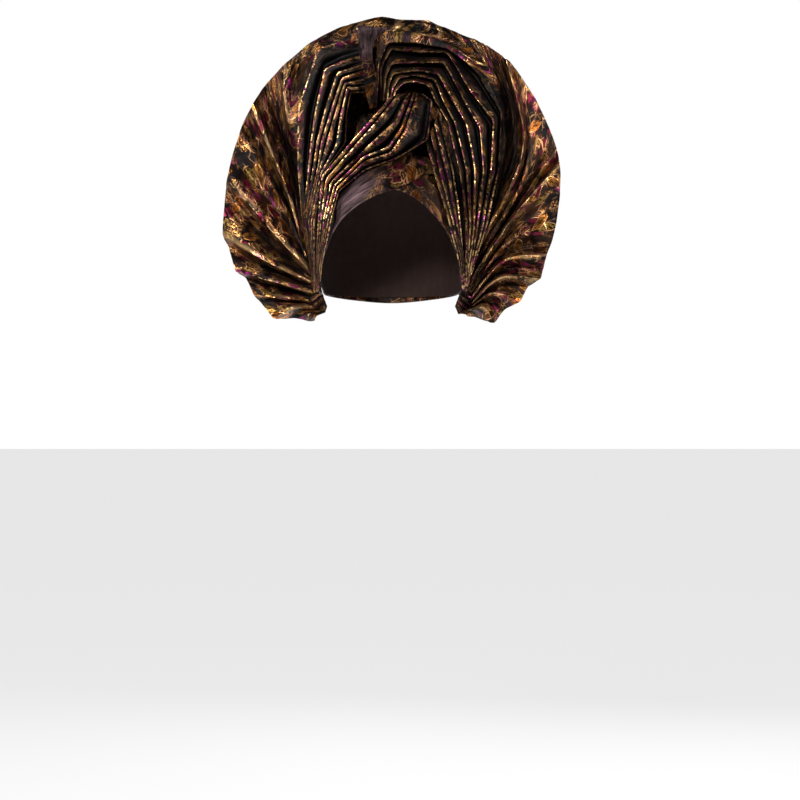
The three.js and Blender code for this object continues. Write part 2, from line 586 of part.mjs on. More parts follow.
// Sash of pleats that rises from the left ear and crosses in front of the crown.
const crossPleats = [
  { foot: onHead(-81.5, 0.99, 0.9), low: onHead(-55.5, 0.52, 1.5),
    turn: inAir(-0.413, 0.045, 1.33), rise: inAir(-0.25, 0.237, 1.4),
    crossing: inAir(-0.15, 0.35, 1.4), high: inAir(-0.08, 0.43, 1.33),
    end: inAir(-0.004, 0.52, 1.15), hidden: inAir(0.075, 0.545, 0.55) },
  { foot: onHead(-79.4, 0.99, 0.9), low: onHead(-52.5, 0.52, 1.5),
    turn: inAir(-0.385, 0.035, 1.37), rise: inAir(-0.21, 0.235, 1.45),
    crossing: inAir(-0.115, 0.34, 1.45), high: inAir(-0.04, 0.43, 1.37),
    end: inAir(0.03, 0.52, 1.17), hidden: inAir(0.095, 0.545, 0.54) },
  { foot: onHead(-77.3, 0.99, 0.9), low: onHead(-49.8, 0.52, 1.5),
    turn: inAir(-0.355, 0.015, 1.41), rise: inAir(-0.18, 0.185, 1.5),
    crossing: inAir(-0.06, 0.3, 1.5), high: inAir(0.03, 0.38, 1.41),
    end: inAir(0.085, 0.51, 1.14), hidden: inAir(0.115, 0.545, 0.53) },
  { foot: onHead(-75.2, 0.99, 0.9), low: onHead(-47.2, 0.52, 1.5),
    turn: inAir(-0.335, 0, 1.45), rise: inAir(-0.16, 0.165, 1.53),
    crossing: inAir(-0.015, 0.225, 1.53), high: inAir(0.065, 0.345, 1.44),
    end: inAir(0.125, 0.515, 1.1), hidden: inAir(0.135, 0.545, 0.52) },
  { foot: onHead(-73.1, 0.99, 0.9), low: onHead(-44.8, 0.52, 1.5),
    turn: inAir(-0.32, -0.015, 1.49), rise: inAir(-0.155, 0.14, 1.57),
    crossing: inAir(0, 0.19, 1.57), high: inAir(0.085, 0.32, 1.45),
    end: inAir(0.15, 0.52, 1.07), hidden: inAir(0.155, 0.545, 0.51) },
  { foot: onHead(-71, 0.99, 0.9), low: onHead(-42.4, 0.52, 1.5),
    turn: inAir(-0.31, -0.04, 1.52), rise: inAir(-0.15, 0.09, 1.55),
    crossing: inAir(0.04, 0.16, 1.5), high: inAir(0.22, 0.27, 1.3),
    end: inAir(0.245, 0.5, 0.98), hidden: inAir(0.185, 0.54, 0.5) },
];
const crossDepths = { foot: 0, low: 0, turn: 0.8, rise: 1, crossing: 1, high: 0.9, end: 0.5,
  hidden: 0.1 };
const crossSteps = 19;
const crossGrid = pleats(crossPleats, sashFoldDepth, crossDepths, crossSteps);
addPiece('cross_pleats', sheetGeometry(crossGrid, pleatWall), brocadeGold);

// Flap from the top rim, down over the ends of the left arches, to behind the sash.
const flapSections = [
  { left: inAir(-0.2, 0.945, -0.015), right: inAir(-0.02, 0.935, -0.015) },
  { left: inAir(-0.195, 0.88, 0.18), right: inAir(-0.075, 0.89, 0.16) },
  { left: inAir(-0.19, 0.82, 0.34), right: inAir(-0.105, 0.83, 0.32) },
  { left: inAir(-0.185, 0.76, 0.46), right: inAir(-0.112, 0.76, 0.44) },
  { left: inAir(-0.155, 0.68, 0.62), right: inAir(-0.098, 0.69, 0.6) },
  { left: inAir(-0.155, 0.59, 0.8), right: inAir(-0.08, 0.6, 0.76) },
  { left: inAir(-0.125, 0.45, 1), right: inAir(-0.088, 0.46, 0.96) },
];
const flapCrown = 3;
const flapColumns = 5;
const flapSteps = 11;

function centreFlap() {
  const edge = (side) => alongCurve(
    flapSections.map((row) => stationPoint(row[side], true)), flapSteps,
  );
  const left = edge('left');
  const right = edge('right');
  return left.map((start, i) => Array.from({ length: flapColumns }, (_, j) => {
    const share = j / (flapColumns - 1);
    const point = start.clone().lerp(right[i], share);
    point.y -= flapCrown * Math.sin(share * Math.PI);
    return point;
  }));
}
addPiece('centre_flap', sheetGeometry(centreFlap(), pleatWall), satin);

// Knot at the nape: a rounded tie with a crease round its waist.
function napeKnot() {
  const ball = new THREE.SphereGeometry(1, knotSegments, knotRings);
  ball.deleteAttribute('normal');
  ball.deleteAttribute('uv');
  const geometry = mergeVertices(ball);
  const seat = innerWrapOffset + wrapWall / 2 + layerGap / 2;
  const centre = headPoint(180, -knotDrop, seat + knotThickness * knotSeatShare);
  const position = geometry.getAttribute('position');
  for (let i = 0; i < position.count; i += 1) {
    const ballPoint = new THREE.Vector3().fromBufferAttribute(position, i);
    const waist = 1 - knotCrease * Math.exp(-((ballPoint.x / knotCreaseWidth) ** 2));
    const point = new THREE.Vector3(
      ballPoint.x * knotWidth / 2,
      ballPoint.y * knotThickness / 2 * waist,
      ballPoint.z * knotHeight / 2 * waist,
    ).add(centre);
    const clear = keepOffHead(point, seat);
    position.setXYZ(i, clear.x, clear.y, clear.z);
  }
  return closedGeometry(Array.from(position.array), Array.from(geometry.index.array));
}
addPiece('nape_knot', napeKnot(), brocade);

export default headTie;
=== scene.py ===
"""A tied gele head tie in stiff floral brocade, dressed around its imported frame."""

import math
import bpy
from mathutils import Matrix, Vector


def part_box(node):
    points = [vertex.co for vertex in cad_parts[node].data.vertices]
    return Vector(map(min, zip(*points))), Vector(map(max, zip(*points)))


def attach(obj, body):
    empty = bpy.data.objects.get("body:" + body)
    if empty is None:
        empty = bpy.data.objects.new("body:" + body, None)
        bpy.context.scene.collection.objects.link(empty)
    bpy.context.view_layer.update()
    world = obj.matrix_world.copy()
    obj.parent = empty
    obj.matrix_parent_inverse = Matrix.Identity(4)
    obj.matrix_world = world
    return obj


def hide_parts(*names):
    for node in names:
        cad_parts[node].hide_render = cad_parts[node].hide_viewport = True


bl_info = {
    "name": "Tied Gele Head Tie",
    "version": (1, 0, 0),
    "blender": (4, 5, 0),
    "location": "View3D > Sidebar > Head Tie",
    "description": "Models a pleated brocade head tie, its materials and a plain studio",
    "category": "Object",
}

from functools import partial, reduce

import bpy
import numpy as np
from mathutils import Vector, noise

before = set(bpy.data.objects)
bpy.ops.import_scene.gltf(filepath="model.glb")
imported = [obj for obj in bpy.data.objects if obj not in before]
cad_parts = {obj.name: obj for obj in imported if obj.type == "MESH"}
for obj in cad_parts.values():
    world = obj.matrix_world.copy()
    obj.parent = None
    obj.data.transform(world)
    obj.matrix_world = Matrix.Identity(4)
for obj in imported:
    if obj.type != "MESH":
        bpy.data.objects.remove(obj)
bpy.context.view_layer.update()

# Walls and gaps of the cloth, in metres.
WRAP_WALL = 0.0012
PLEAT_WALL = 0.001
LAYER_GAP = 0.0006
PLEAT_CLEARANCE = 0.00095

# Head hollow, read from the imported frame. It is widest at the temple drop, 95 of the ear
# drop's 150 mm, and narrows by the ear taper from there to the ear.
CAP_LOW, CAP_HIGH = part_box("crown_cap")
HEAD_HALF_WIDTH = (CAP_HIGH.x - CAP_LOW.x) / 2 - WRAP_WALL
HEAD_HALF_LENGTH = CAP_HIGH.y - WRAP_WALL
EAR_DROP = -CAP_LOW.z
TEMPLE_DROP = EAR_DROP * 95 / 150
EAR_TAPER = 0.1

# Fan: its radius, the drop of its centre, and how far back its rim, its root line and its seat
# on the crown lie. The seat sweeps over so many degrees from end to end, climbs onto the bands
# between two angles, counted from the temples' level, and has its ends at a drop.
FAN_RADIUS = 0.175
FAN_CENTRE_DROP = 0.036
RIM_SET_BACK = 0.034
ROOT_SET_BACK = 0.018
SEAT_SET_BACK = 0.026
SEAT_SWEEP = 250
SEAT_CLIMB = (-25, -12)
SEAT_END_DROP = 0.162

# How far forward one unit of the stack of pleats reaches, in metres.
STACK_DEPTH = 0.06

# Fold depths, from a ridge back to its valley.
FAN_FOLD_DEPTH = 0.022
ARCH_FOLD_DEPTH = 0.018
EAR_FOLD_DEPTH = 0.005
SASH_FOLD_DEPTH = 0.014

# Cross-section of a knife pleat from one ridge to the next: share of the way across, and depth.
# The face falls gently from its ridge, then drops into a narrow valley under the next ridge.
PLEAT_SECTION = [
    (0, 0), (0.025, 0.004), (0.07, 0.025), (0.17, 0.06), (0.3, 0.1), (0.43, 0.15), (0.52, 0.24),
    (0.57, 0.42), (0.61, 0.66), (0.66, 0.88), (0.73, 0.98), (0.81, 1), (0.87, 0.96), (0.915, 0.82),
    (0.94, 0.58), (0.96, 0.3), (0.98, 0.08), (1, 0),
]

# Steps from a sheet's edge to its first ridge, the power of the depth that sets the painted shade on a
# pleat's face, the corner radius at a station, and the outer fold lines that stay nearly still. Then
# how far a pleated sheet's fold lines wander, and its share of the crumple setting.
EDGE_STEPS = 6
FACE_SHADE = 0.48
STATION_CORNER = 0.005
STILL_ROWS = 8
PLEAT_WANDER = (0.0016, 0.0022)
PLEAT_CRUMPLE = 0.35

# Wrinkles and creases: waves in a metre across and along the cloth. Pleat wrinkles shrink where
# rows lie closer than the tight step, and the fine ones have a share of the soft ones' depth.
TIGHT_STEP = 0.0015
SOFT_WRINKLES = (60, 22)
FINE_WRINKLES = (190, 75)
FINE_SHARE = 0.45
CROWN_CREASES = (40, 16)
BAND_CREASES = (14, 160)
BAND_FOLDS = (8, 60)
FLAP_FOLDS = (18, 130)
FLAP_CREASES = (60, 260)
CREASE_DEPTH = 0.0002

# Widest gap that is closed where the crown's sheet meets itself, and the angle in degrees from
# which an edge is shaded sharp.
SEAM_GAP = 0.00005
SHARP_ANGLE = 55

# Painted shade of the fan's folds: depth of cloth that stands neither forward nor back, and how much
# of it one unit of stand takes away. It opens out by a share towards the rim, late by a power. A
# fold that stands forward by the ridge stand shows a painted highlight line.
FAN_LEVEL_DEPTH = 0.4
FAN_STAND_DEPTH = 0.75
FAN_OPENING = 0.8
FAN_OPENING_POWER = 1.6
RIDGE_STAND = 0.3

# Distances of the layers from the head hollow, to the middle of each wall.
CAP_OFFSET = WRAP_WALL / 2
INNER_WRAP_OFFSET = CAP_OFFSET + WRAP_WALL + LAYER_GAP
OUTER_WRAP_OFFSET = INNER_WRAP_OFFSET + WRAP_WALL + LAYER_GAP
PLEAT_OFFSET = OUTER_WRAP_OFFSET + WRAP_WALL / 2 + PLEAT_WALL / 2 + PLEAT_CLEARANCE
SEAT_GAP = WRAP_WALL / 2 + PLEAT_WALL / 2 + LAYER_GAP

# Drops between which the right pleats come nearer to the head, since the left band has ended.
LEFT_BAND_END_DROP = 0.05
LEFT_BAND_PAST_DROP = 0.07

# Distances from a ridge, in metres: the one that stands for cloth with no ridge near it, and
# the room between ridges under which they are counted longer, so that the painted highlight lines
# get finer. The fan's inner, seated share shows no painted lines and its rim finer ones, by an extra each.
NO_RIDGE = 1.0
RIDGE_ROOM = 0.007
SEATED_SHARE = 0.2
SEATED_FADE = 0.02
SEATED_EXTRA = 0.01
RIM_EXTRA = 0.0006

# Knot at the nape: width and length of its cloth in metres. Then, in shares of its half size,
# depth and half width of its waist, depth and number of its gathers, and depth of its ripples.
KNOT_CLOTH = (0.12, 0.05)
KNOT_WAIST = 0.3
KNOT_WAIST_WIDTH = 0.22
KNOT_GATHER = 0.07
KNOT_GATHERS = 9
KNOT_RIPPLE = 0.03

# Softness of a mask with a hard edge, and the near-black tones of painted shade: in valleys, in
# closed pleats, in the border's creases and on its upper part, which the light does not reach.
HARD = 0.001
PAINTED_VALLEY_SHADE = (0.0006, 0.0004, 0.0004, 1)
PAINTED_SHUT_SHADE = (0.001, 0.0006, 0.0006, 1)
PAINTED_CREASE_SHADE = (0.002, 0.001, 0.001, 1)
PAINTED_UPPER_SHADE = (0.004, 0.002, 0.002, 1)

# Petals of the figures: cells to a metre, and factors on the cloth map that lengthen them.
PETAL_SCALE = 112.0
PETAL_STRETCH = (1.0, 0.62, 1.0)

# Camera: level, in front of the fan, at the photograph's framing. The floor fills its view.
CAMERA_X = 0.0094
CAMERA_Z = -0.2604
CAMERA_DISTANCE = 2.6
CAMERA_LENS = 112.32
FLOOR_SIZE = 60

# Line that the fan's folds start from, from the left ear over the top to the right: shares of
# the fan's radius across and up, and how far back it lies in root set-backs.
FAN_ROOT = [
    (-0.39, -0.76, 2.2), (-0.45, -0.74, 2.0), (-0.48, -0.68, 1.7), (-0.46, -0.61, 1.3), (-0.53, -0.33, 1.0),
    (-0.55, 0.12, 1.0), (-0.55, 0.45, 1.0), (-0.52, 0.66, 1.0), (-0.43, 0.82, 1.2), (-0.27, 0.87, 1.3),
    (-0.04, 0.91, 1.3), (0.14, 0.9, 1.3), (0.35, 0.83, 1.2), (0.53, 0.67, 1.1), (0.66, 0.43, 1.0),
    (0.65, 0.08, 1.0), (0.56, -0.27, 1.0), (0.48, -0.51, 1.2), (0.47, -0.6, 1.4), (0.48, -0.67, 1.7),
    (0.46, -0.74, 2.0), (0.4, -0.77, 2.2),
]

# Folds of the fan: where each starts along the root line, its middle across and up, its end on
# the rim across and up, and how far it stands forward (ridge) or back (valley) as a share of
# the fold depth.
FAN_FOLDS = np.array([
    [0, -0.445, -0.785, -0.455, -0.805, 0], [0.007, -0.49, -0.775, -0.49, -0.815, 0.3],
    [0.013, -0.53, -0.755, -0.575, -0.79, -0.3], [0.019, -0.575, -0.735, -0.7, -0.797, 0.5],
    [0.025, -0.59, -0.695, -0.775, -0.7, -0.3], [0.03, -0.615, -0.68, -0.815, -0.66, 0.5],
    [0.038, -0.625, -0.625, -0.862, -0.555, -0.6], [0.043, -0.65, -0.59, -0.925, -0.52, 0.6],
    [0.052, -0.67, -0.525, -0.965, -0.37, -0.6], [0.058, -0.7, -0.485, -1.005, -0.3, 0.7],
    [0.068, -0.68, -0.385, -0.985, -0.05, -0.6], [0.074, -0.66, -0.33, -0.975, 0.03, 0.65],
    [0.084, -0.645, -0.2, -0.945, 0.17, -0.2], [0.093, -0.635, -0.13, -0.905, 0.3, 0.15],
    [0.103, -0.625, -0.12, -0.865, 0.4, -0.6], [0.11, -0.605, -0.075, -0.83, 0.47, 0.85],
    [0.17, -0.59, 0.1, -0.75, 0.59, -0.8], [0.29, -0.61, 0.39, -0.64, 0.71, 0.3],
    [0.36, -0.55, 0.65, -0.49, 0.84, -0.4], [0.4, -0.45, 0.84, -0.36, 0.91, 0.3],
    [0.43, -0.33, 0.9, -0.26, 0.95, -0.2], [0.455, -0.2, 0.93, -0.15, 0.98, 0.3],
    [0.48, -0.08, 0.95, -0.05, 1.0, 0], [0.5, 0.04, 0.94, 0.07, 0.98, 0.3],
    [0.52, 0.17, 0.93, 0.22, 0.98, -0.2], [0.54, 0.28, 0.89, 0.28, 0.95, 0.3],
    [0.565, 0.42, 0.83, 0.4, 0.9, -0.3], [0.6, 0.56, 0.71, 0.5, 0.865, 0.3],
    [0.7, 0.7, 0.5, 0.585, 0.82, -0.5], [0.86, 0.755, 0.26, 0.65, 0.775, -0.8],
    [0.885, 0.785, 0.22, 0.685, 0.75, 0.8], [0.9, 0.79, 0.1, 0.78, 0.635, -0.2],
    [0.912, 0.785, 0.03, 0.86, 0.515, 0.15], [0.923, 0.78, -0.03, 0.935, 0.355, -0.1],
    [0.933, 0.77, -0.09, 0.985, 0.22, -0.6], [0.94, 0.745, -0.17, 1.005, 0.12, 0.8],
    [0.948, 0.715, -0.27, 1.005, -0.06, -0.2], [0.955, 0.7, -0.34, 0.985, -0.22, 0.2],
    [0.961, 0.69, -0.4, 0.955, -0.35, -0.5], [0.966, 0.68, -0.445, 0.925, -0.425, 0.6],
    [0.971, 0.665, -0.51, 0.905, -0.5, -0.4], [0.976, 0.65, -0.555, 0.893, -0.56, 0.5],
    [0.981, 0.635, -0.6, 0.815, -0.605, -0.5], [0.985, 0.62, -0.645, 0.77, -0.7, 0.5],
    [0.989, 0.575, -0.69, 0.675, -0.744, -0.4], [0.993, 0.55, -0.73, 0.613, -0.825, 0.5],
    [0.997, 0.48, -0.755, 0.5, -0.785, -0.3], [1, 0.44, -0.77, 0.455, -0.785, 0],
])

# Pleats, a row for each ridge and a place for each station along it. A station on the head
# has an azimuth, a drop as a share of the ear drop, and how far the ridge stands off. One in
# the air has shares of the fan's radius across and up, and how far forward it is in the stack.
# The stations are named in order, each with its share of the fold depth.
HEAD_STATIONS = ("foot", "low")
LEFT_ARCHES = [
    [(-99, 0.99, 1), (-92, 0.52, 2), (-0.555, 0.08, 0.3), (-0.555, 0.25, 0.3), (-0.55, 0.47, 0.3),
     (-0.43, 0.81, 0.3), (-0.3, 0.85, 0.2), (-0.15, 0.87, 0.05)],
    [(-96.5, 0.99, 1), (-84, 0.52, 2), (-0.495, 0.08, 0.43), (-0.478, 0.25, 0.43), (-0.45, 0.43, 0.4),
     (-0.395, 0.69, 0.42), (-0.29, 0.735, 0.4), (-0.14, 0.775, 0.26)],
    [(-94, 0.99, 1), (-77, 0.52, 2), (-0.467, 0.08, 0.56), (-0.442, 0.25, 0.56), (-0.4, 0.42, 0.52),
     (-0.32, 0.67, 0.54), (-0.24, 0.695, 0.52), (-0.14, 0.725, 0.38)],
    [(-91.5, 0.99, 1), (-71.5, 0.52, 2), (-0.445, 0.08, 0.69), (-0.412, 0.25, 0.69),
     (-0.367, 0.41, 0.63), (-0.292, 0.637, 0.64), (-0.225, 0.66, 0.62), (-0.14, 0.68, 0.46)],
    [(-89, 0.99, 1), (-66.5, 0.52, 2), (-0.428, 0.08, 0.81), (-0.378, 0.25, 0.81),
     (-0.335, 0.41, 0.74), (-0.275, 0.61, 0.74), (-0.21, 0.62, 0.71), (-0.14, 0.63, 0.54)],
    [(-86.5, 0.99, 1), (-62, 0.52, 2), (-0.414, 0.08, 0.93), (-0.325, 0.235, 0.93),
     (-0.295, 0.43, 0.85), (-0.262, 0.58, 0.82), (-0.19, 0.58, 0.79), (-0.14, 0.59, 0.62)],
    [(-84, 0.99, 1), (-58.5, 0.52, 2), (-0.4, 0.07, 1.04), (-0.27, 0.25, 1.04), (-0.265, 0.41, 0.95),
     (-0.24, 0.55, 0.9), (-0.18, 0.55, 0.86), (-0.13, 0.55, 0.68)],
]
LEFT_ARCH_DEPTHS = {"foot": 0, "low": 0, "waist": 0.8, "elbow": 0.9, "shoulder": 0.9, "kink": 0.9,
                    "top": 0.5, "tuck": 0.12}
RIGHT_ARCHES = [
    [(97, 0.98, 1), (94, 0.52, 4), (0.64, 0.08, 0.3), (0.66, 0.43, 0.3), (0.51, 0.68, 0.3),
     (0.345, 0.81, 0.3), (0.13, 0.85, 0.27), (-0.02, 0.845, 0.24), (-0.075, 0.72, 0.24),
     (-0.075, 0.5, 0.24)],
    [(94.5, 0.98, 1), (86, 0.52, 3.2), (0.595, 0.08, 0.45), (0.61, 0.38, 0.44), (0.47, 0.56, 0.45),
     (0.34, 0.785, 0.46), (0.15, 0.79, 0.43), (0, 0.81, 0.38), (-0.055, 0.7, 0.39), (-0.06, 0.5, 0.4)],
    [(92, 0.98, 1), (79, 0.52, 2.4), (0.55, 0.08, 0.6), (0.525, 0.34, 0.58), (0.42, 0.53, 0.58),
     (0.315, 0.73, 0.6), (0.16, 0.725, 0.58), (0, 0.72, 0.52), (-0.03, 0.64, 0.52),
     (-0.045, 0.5, 0.52)],
    [(89.5, 0.98, 1), (72, 0.52, 2), (0.5, 0.08, 0.74), (0.45, 0.36, 0.72), (0.36, 0.52, 0.72),
     (0.285, 0.655, 0.73), (0.16, 0.68, 0.71), (0.015, 0.66, 0.65), (-0.01, 0.6, 0.64),
     (-0.02, 0.5, 0.63)],
    [(87, 0.98, 1), (65, 0.52, 2), (0.45, 0.08, 0.87), (0.38, 0.37, 0.84), (0.31, 0.5, 0.84),
     (0.26, 0.625, 0.84), (0.15, 0.65, 0.82), (0.05, 0.635, 0.76), (0.01, 0.57, 0.74),
     (-0.005, 0.5, 0.73)],
    [(84.5, 0.98, 1), (59, 0.52, 2), (0.41, 0.08, 1), (0.335, 0.38, 0.95), (0.265, 0.5, 0.95),
     (0.225, 0.59, 0.94), (0.14, 0.615, 0.92), (0.075, 0.605, 0.87), (0.03, 0.56, 0.84),
     (0.01, 0.5, 0.82)],
]
RIGHT_ARCH_DEPTHS = {"foot": 0, "low": 0.1, "waist": 0.8, "shoulder": 0.9, "bend": 0.9,
                     "kink": 0.9, "top": 0.8, "corner": 0.5, "side": 0.4, "tuck": 0.2}
TEMPLE_PLEATS = [
    [(81.5, 0.98, 0.9), (54, 0.52, 1.4), (0.37, 0.08, 1.1), (0.285, 0.42, 0.9)],
    [(78.5, 0.98, 0.9), (50.5, 0.52, 1.3), (0.335, 0.06, 1.17), (0.26, 0.37, 0.92)],
    [(75.5, 0.98, 0.9), (47, 0.52, 1.2), (0.3, 0.03, 1.25), (0.235, 0.32, 0.94)],
    [(72.5, 0.98, 0.9), (43.5, 0.52, 1.1), (0.26, 0, 1.33), (0.205, 0.27, 0.95)],
]
TEMPLE_DEPTHS = {"foot": 0, "low": 0, "waist": 0.25, "tuck": 0.3}
CROSS_PLEATS = [
    [(-81.5, 0.99, 0.9), (-55.5, 0.52, 1.5), (-0.413, 0.045, 1.33), (-0.25, 0.237, 1.4),
     (-0.15, 0.35, 1.4), (-0.08, 0.43, 1.33), (-0.004, 0.52, 1.15), (0.075, 0.545, 0.55)],
    [(-79.4, 0.99, 0.9), (-52.5, 0.52, 1.5), (-0.385, 0.035, 1.37), (-0.21, 0.235, 1.45),
     (-0.115, 0.34, 1.45), (-0.04, 0.43, 1.37), (0.03, 0.52, 1.17), (0.095, 0.545, 0.54)],
    [(-77.3, 0.99, 0.9), (-49.8, 0.52, 1.5), (-0.355, 0.015, 1.41), (-0.18, 0.185, 1.5),
     (-0.06, 0.3, 1.5), (0.03, 0.38, 1.41), (0.085, 0.51, 1.14), (0.115, 0.545, 0.53)],
    [(-75.2, 0.99, 0.9), (-47.2, 0.52, 1.5), (-0.335, 0, 1.45), (-0.16, 0.165, 1.53),
     (-0.015, 0.225, 1.53), (0.065, 0.345, 1.44), (0.125, 0.515, 1.1), (0.135, 0.545, 0.52)],
    [(-73.1, 0.99, 0.9), (-44.8, 0.52, 1.5), (-0.32, -0.015, 1.49), (-0.155, 0.14, 1.57),
     (0, 0.19, 1.57), (0.085, 0.32, 1.45), (0.15, 0.52, 1.07), (0.155, 0.545, 0.51)],
    [(-71, 0.99, 0.9), (-42.4, 0.52, 1.5), (-0.31, -0.04, 1.52), (-0.15, 0.09, 1.55),
     (0.04, 0.16, 1.5), (0.22, 0.27, 1.3), (0.245, 0.5, 0.98), (0.185, 0.54, 0.5)],
]
CROSS_DEPTHS = {"foot": 0, "low": 0, "turn": 0.8, "rise": 1, "crossing": 1, "high": 0.9,
                "end": 0.5, "hidden": 0.1}

# Left and right side of the flap, from the top down, as places in the air.
FLAP_SECTIONS = [
    ((-0.2, 0.945, -0.015), (-0.02, 0.935, -0.015)),
    ((-0.195, 0.88, 0.18), (-0.075, 0.89, 0.16)),
    ((-0.19, 0.82, 0.34), (-0.105, 0.83, 0.32)),
    ((-0.185, 0.76, 0.46), (-0.112, 0.76, 0.44)),
    ((-0.155, 0.68, 0.62), (-0.098, 0.69, 0.6)),
    ((-0.155, 0.59, 0.8), (-0.08, 0.6, 0.76)),
    ((-0.125, 0.45, 1.0), (-0.088, 0.46, 0.96)),
]

# Lengths along the left band and the flap between which they show the plain border, the width
# over which it runs out into brocade, and the width of the band's part that is left lit; past it the band
# gets painted shade.
BAND_SATIN = (-0.1, 0.165)
FLAP_SATIN = (-0.1, 0.052)
SATIN_FADE = 0.03
BAND_LIT_WIDTH = 0.03

# Rows of the flap that lie on the fan, their distance from it, the length along the flap from
# which its free edge shows a painted highlight line, how far its middle stands forward, and how deep its
# folds and creases are.
FLAP_LAID_ROWS = 22
FLAP_REST = 0.0009
FLAP_EDGE_START = 0.02
FLAP_BULGE = 0.003
FLAP_FOLD_DEPTH = 0.0016
FLAP_CREASE_DEPTH = 0.0005

# Edges round the head: azimuth, then the low and the high edge as shares of the ear drop. The
# cap has a low edge alone.
CAP_EDGE = [(0, 0.26), (40, 0.48), (75, 0.74), (90, 0.99), (100, 1.0), (180, 1.0)]
LEFT_BAND = [(-100, 1.0, 0.62), (-85, 0.98, 0.5), (-62, 0.8, 0.36), (-38, 0.52, 0.22),
             (-15, 0.38, 0.12), (7, 0.31, 0.06), (34, 0.21, 0.03), (56, 0.2, 0.05)]
RIGHT_BAND = [(-30, 0.3, 0.12), (-8, 0.31, 0.1), (14, 0.35, 0.12), (38, 0.52, 0.26),
              (62, 0.78, 0.42), (85, 0.98, 0.54), (100, 1.0, 0.62)]
BACK_BAND = [(104, 1.0, 0.6), (140, 1.02, 0.58), (180, 1.04, 0.56), (220, 1.02, 0.58),
             (256, 1.0, 0.6)]


def head_share(z, offset):
    """Share of the head's full width that is left at a height, for a layer at an offset."""
    level = z + TEMPLE_DROP
    above = np.sqrt(np.maximum(0, 1 - (level / (TEMPLE_DROP + offset)) ** 2))
    below = 1 - EAR_TAPER * (level / (EAR_DROP - TEMPLE_DROP)) ** 2
    return np.where(level > 0, above, below)


def head_point(azimuth, z, offset):
    """Point at an azimuth round the head: 0 is the forehead, 90 the right ear."""
    share = head_share(z, offset)
    angle = np.radians(azimuth)
    across = (HEAD_HALF_WIDTH + offset) * share * np.sin(angle)
    along = -(HEAD_HALF_LENGTH + offset) * share * np.cos(angle)
    return np.stack(np.broadcast_arrays(across, along, z), -1)


def keep_off_head(points, offset):
    """Moves points that lie too near the head out to the given offset."""
    a = HEAD_HALF_WIDTH + offset
    b = HEAD_HALF_LENGTH + offset
    share = head_share(points[..., 2], offset)
    reach = np.maximum(np.hypot(points[..., 0] / a, points[..., 1] / b), 1e-9)
    grow = np.maximum(1, share / reach)
    return points * np.stack([grow, grow, np.ones_like(grow)], -1)


def clear_offset(x, z):
    """Offset that clears the bands: on the right, only the lower band reaches the ear."""
    t = np.clip((-z - LEFT_BAND_END_DROP) / (LEFT_BAND_PAST_DROP - LEFT_BAND_END_DROP), 0, 1)
    past = np.where(x > 0, t * t * (3 - 2 * t), 0)
    return PLEAT_OFFSET - past * (WRAP_WALL + LAYER_GAP)


def clear_of_bands(points):
    """Moves the points of a pleated sheet clear of the bands round the head."""
    return keep_off_head(points, clear_offset(points[..., 0], points[..., 2]))


def fan_point(across, up, set_back):
    """Point from shares of the fan's radius, in its place in the front view at any depth."""
    grow = 1 + set_back / CAMERA_DISTANCE
    x = across * FAN_RADIUS
    z = up * FAN_RADIUS - FAN_CENTRE_DROP
    return np.array([
        CAMERA_X + (x - CAMERA_X) * grow,
        set_back,
        CAMERA_Z + (z - CAMERA_Z) * grow,
    ])


def dense_curve(points, between=24):
    """Centripetal Catmull-Rom curve through key points, with the length to each of its points."""
    points = np.asarray(points, float)
    ends = [2 * points[0] - points[1], *points, 2 * points[-1] - points[-2]]
    dense = []
    for p0, p1, p2, p3 in zip(ends, ends[1:], ends[2:], ends[3:]):
        t1 = max(np.linalg.norm(p1 - p0), 1e-9) ** 0.5
        t2 = t1 + max(np.linalg.norm(p2 - p1), 1e-9) ** 0.5
        t3 = t2 + max(np.linalg.norm(p3 - p2), 1e-9) ** 0.5
        t = np.linspace(t1, t2, between, endpoint=False)[:, None]
        a1 = (t1 - t) / t1 * p0 + t / t1 * p1
        a2 = (t2 - t) / (t2 - t1) * p1 + (t - t1) / (t2 - t1) * p2
        a3 = (t3 - t) / (t3 - t2) * p2 + (t - t2) / (t3 - t2) * p3
        b1 = (t2 - t) / t2 * a1 + t / t2 * a2
        b2 = (t3 - t) / (t3 - t1) * a2 + (t - t1) / (t3 - t1) * a3
        dense.append((t2 - t) / (t2 - t1) * b1 + (t - t1) / (t2 - t1) * b2)
    dense.append(points[-1:])
    dense = np.concatenate(dense)
    length = np.concatenate([[0], np.cumsum(np.linalg.norm(np.diff(dense, axis=0), axis=1))])
    return dense, length


def taut_lines(keys, steps, corner):
    """Lines of straight runs between key points, with small rounded corners at the stations."""
    keys = np.asarray(keys, float)
    runs = np.linalg.norm(np.diff(keys, axis=1), axis=-1).mean(axis=0)
    place = np.concatenate([[0], np.cumsum(runs)])
    at = np.linspace(0, place[-1], steps)
    lines = np.stack([
        np.stack([np.interp(at, place, line[:, axis]) for axis in range(3)], -1) for line in keys
    ])
    reach = max(1, round(corner / (place[-1] / (steps - 1))))
    window = np.hanning(2 * reach + 3)[1:-1]
    window /= window.sum()
    before = 2 * lines[:, :1] - lines[:, reach:0:-1]
    after = 2 * lines[:, -1:] - lines[:, -2:-2 - reach:-1]
    padded = np.concatenate([before, lines, after], axis=1)
    return sum(weight * padded[:, k:k + steps] for k, weight in enumerate(window))


def read_curve(curve, shares):
    """Points of a dense curve at shares of its length."""
    dense, length = curve
    at = np.asarray(shares) * length[-1]
    return np.stack([np.interp(at, length, dense[:, axis]) for axis in range(3)], -1)


def along_curve(points, count):
    """Points at even steps of length along the curve through key points."""
    return read_curve(dense_curve(points), np.linspace(0, 1, count))


def noise_field(u, v, seed):
    """Smooth noise over two arrays of numbers."""
    flat = [noise.noise(Vector((a, b, seed))) for a, b in zip(u.ravel(), v.ravel())]
    return np.array(flat).reshape(u.shape)


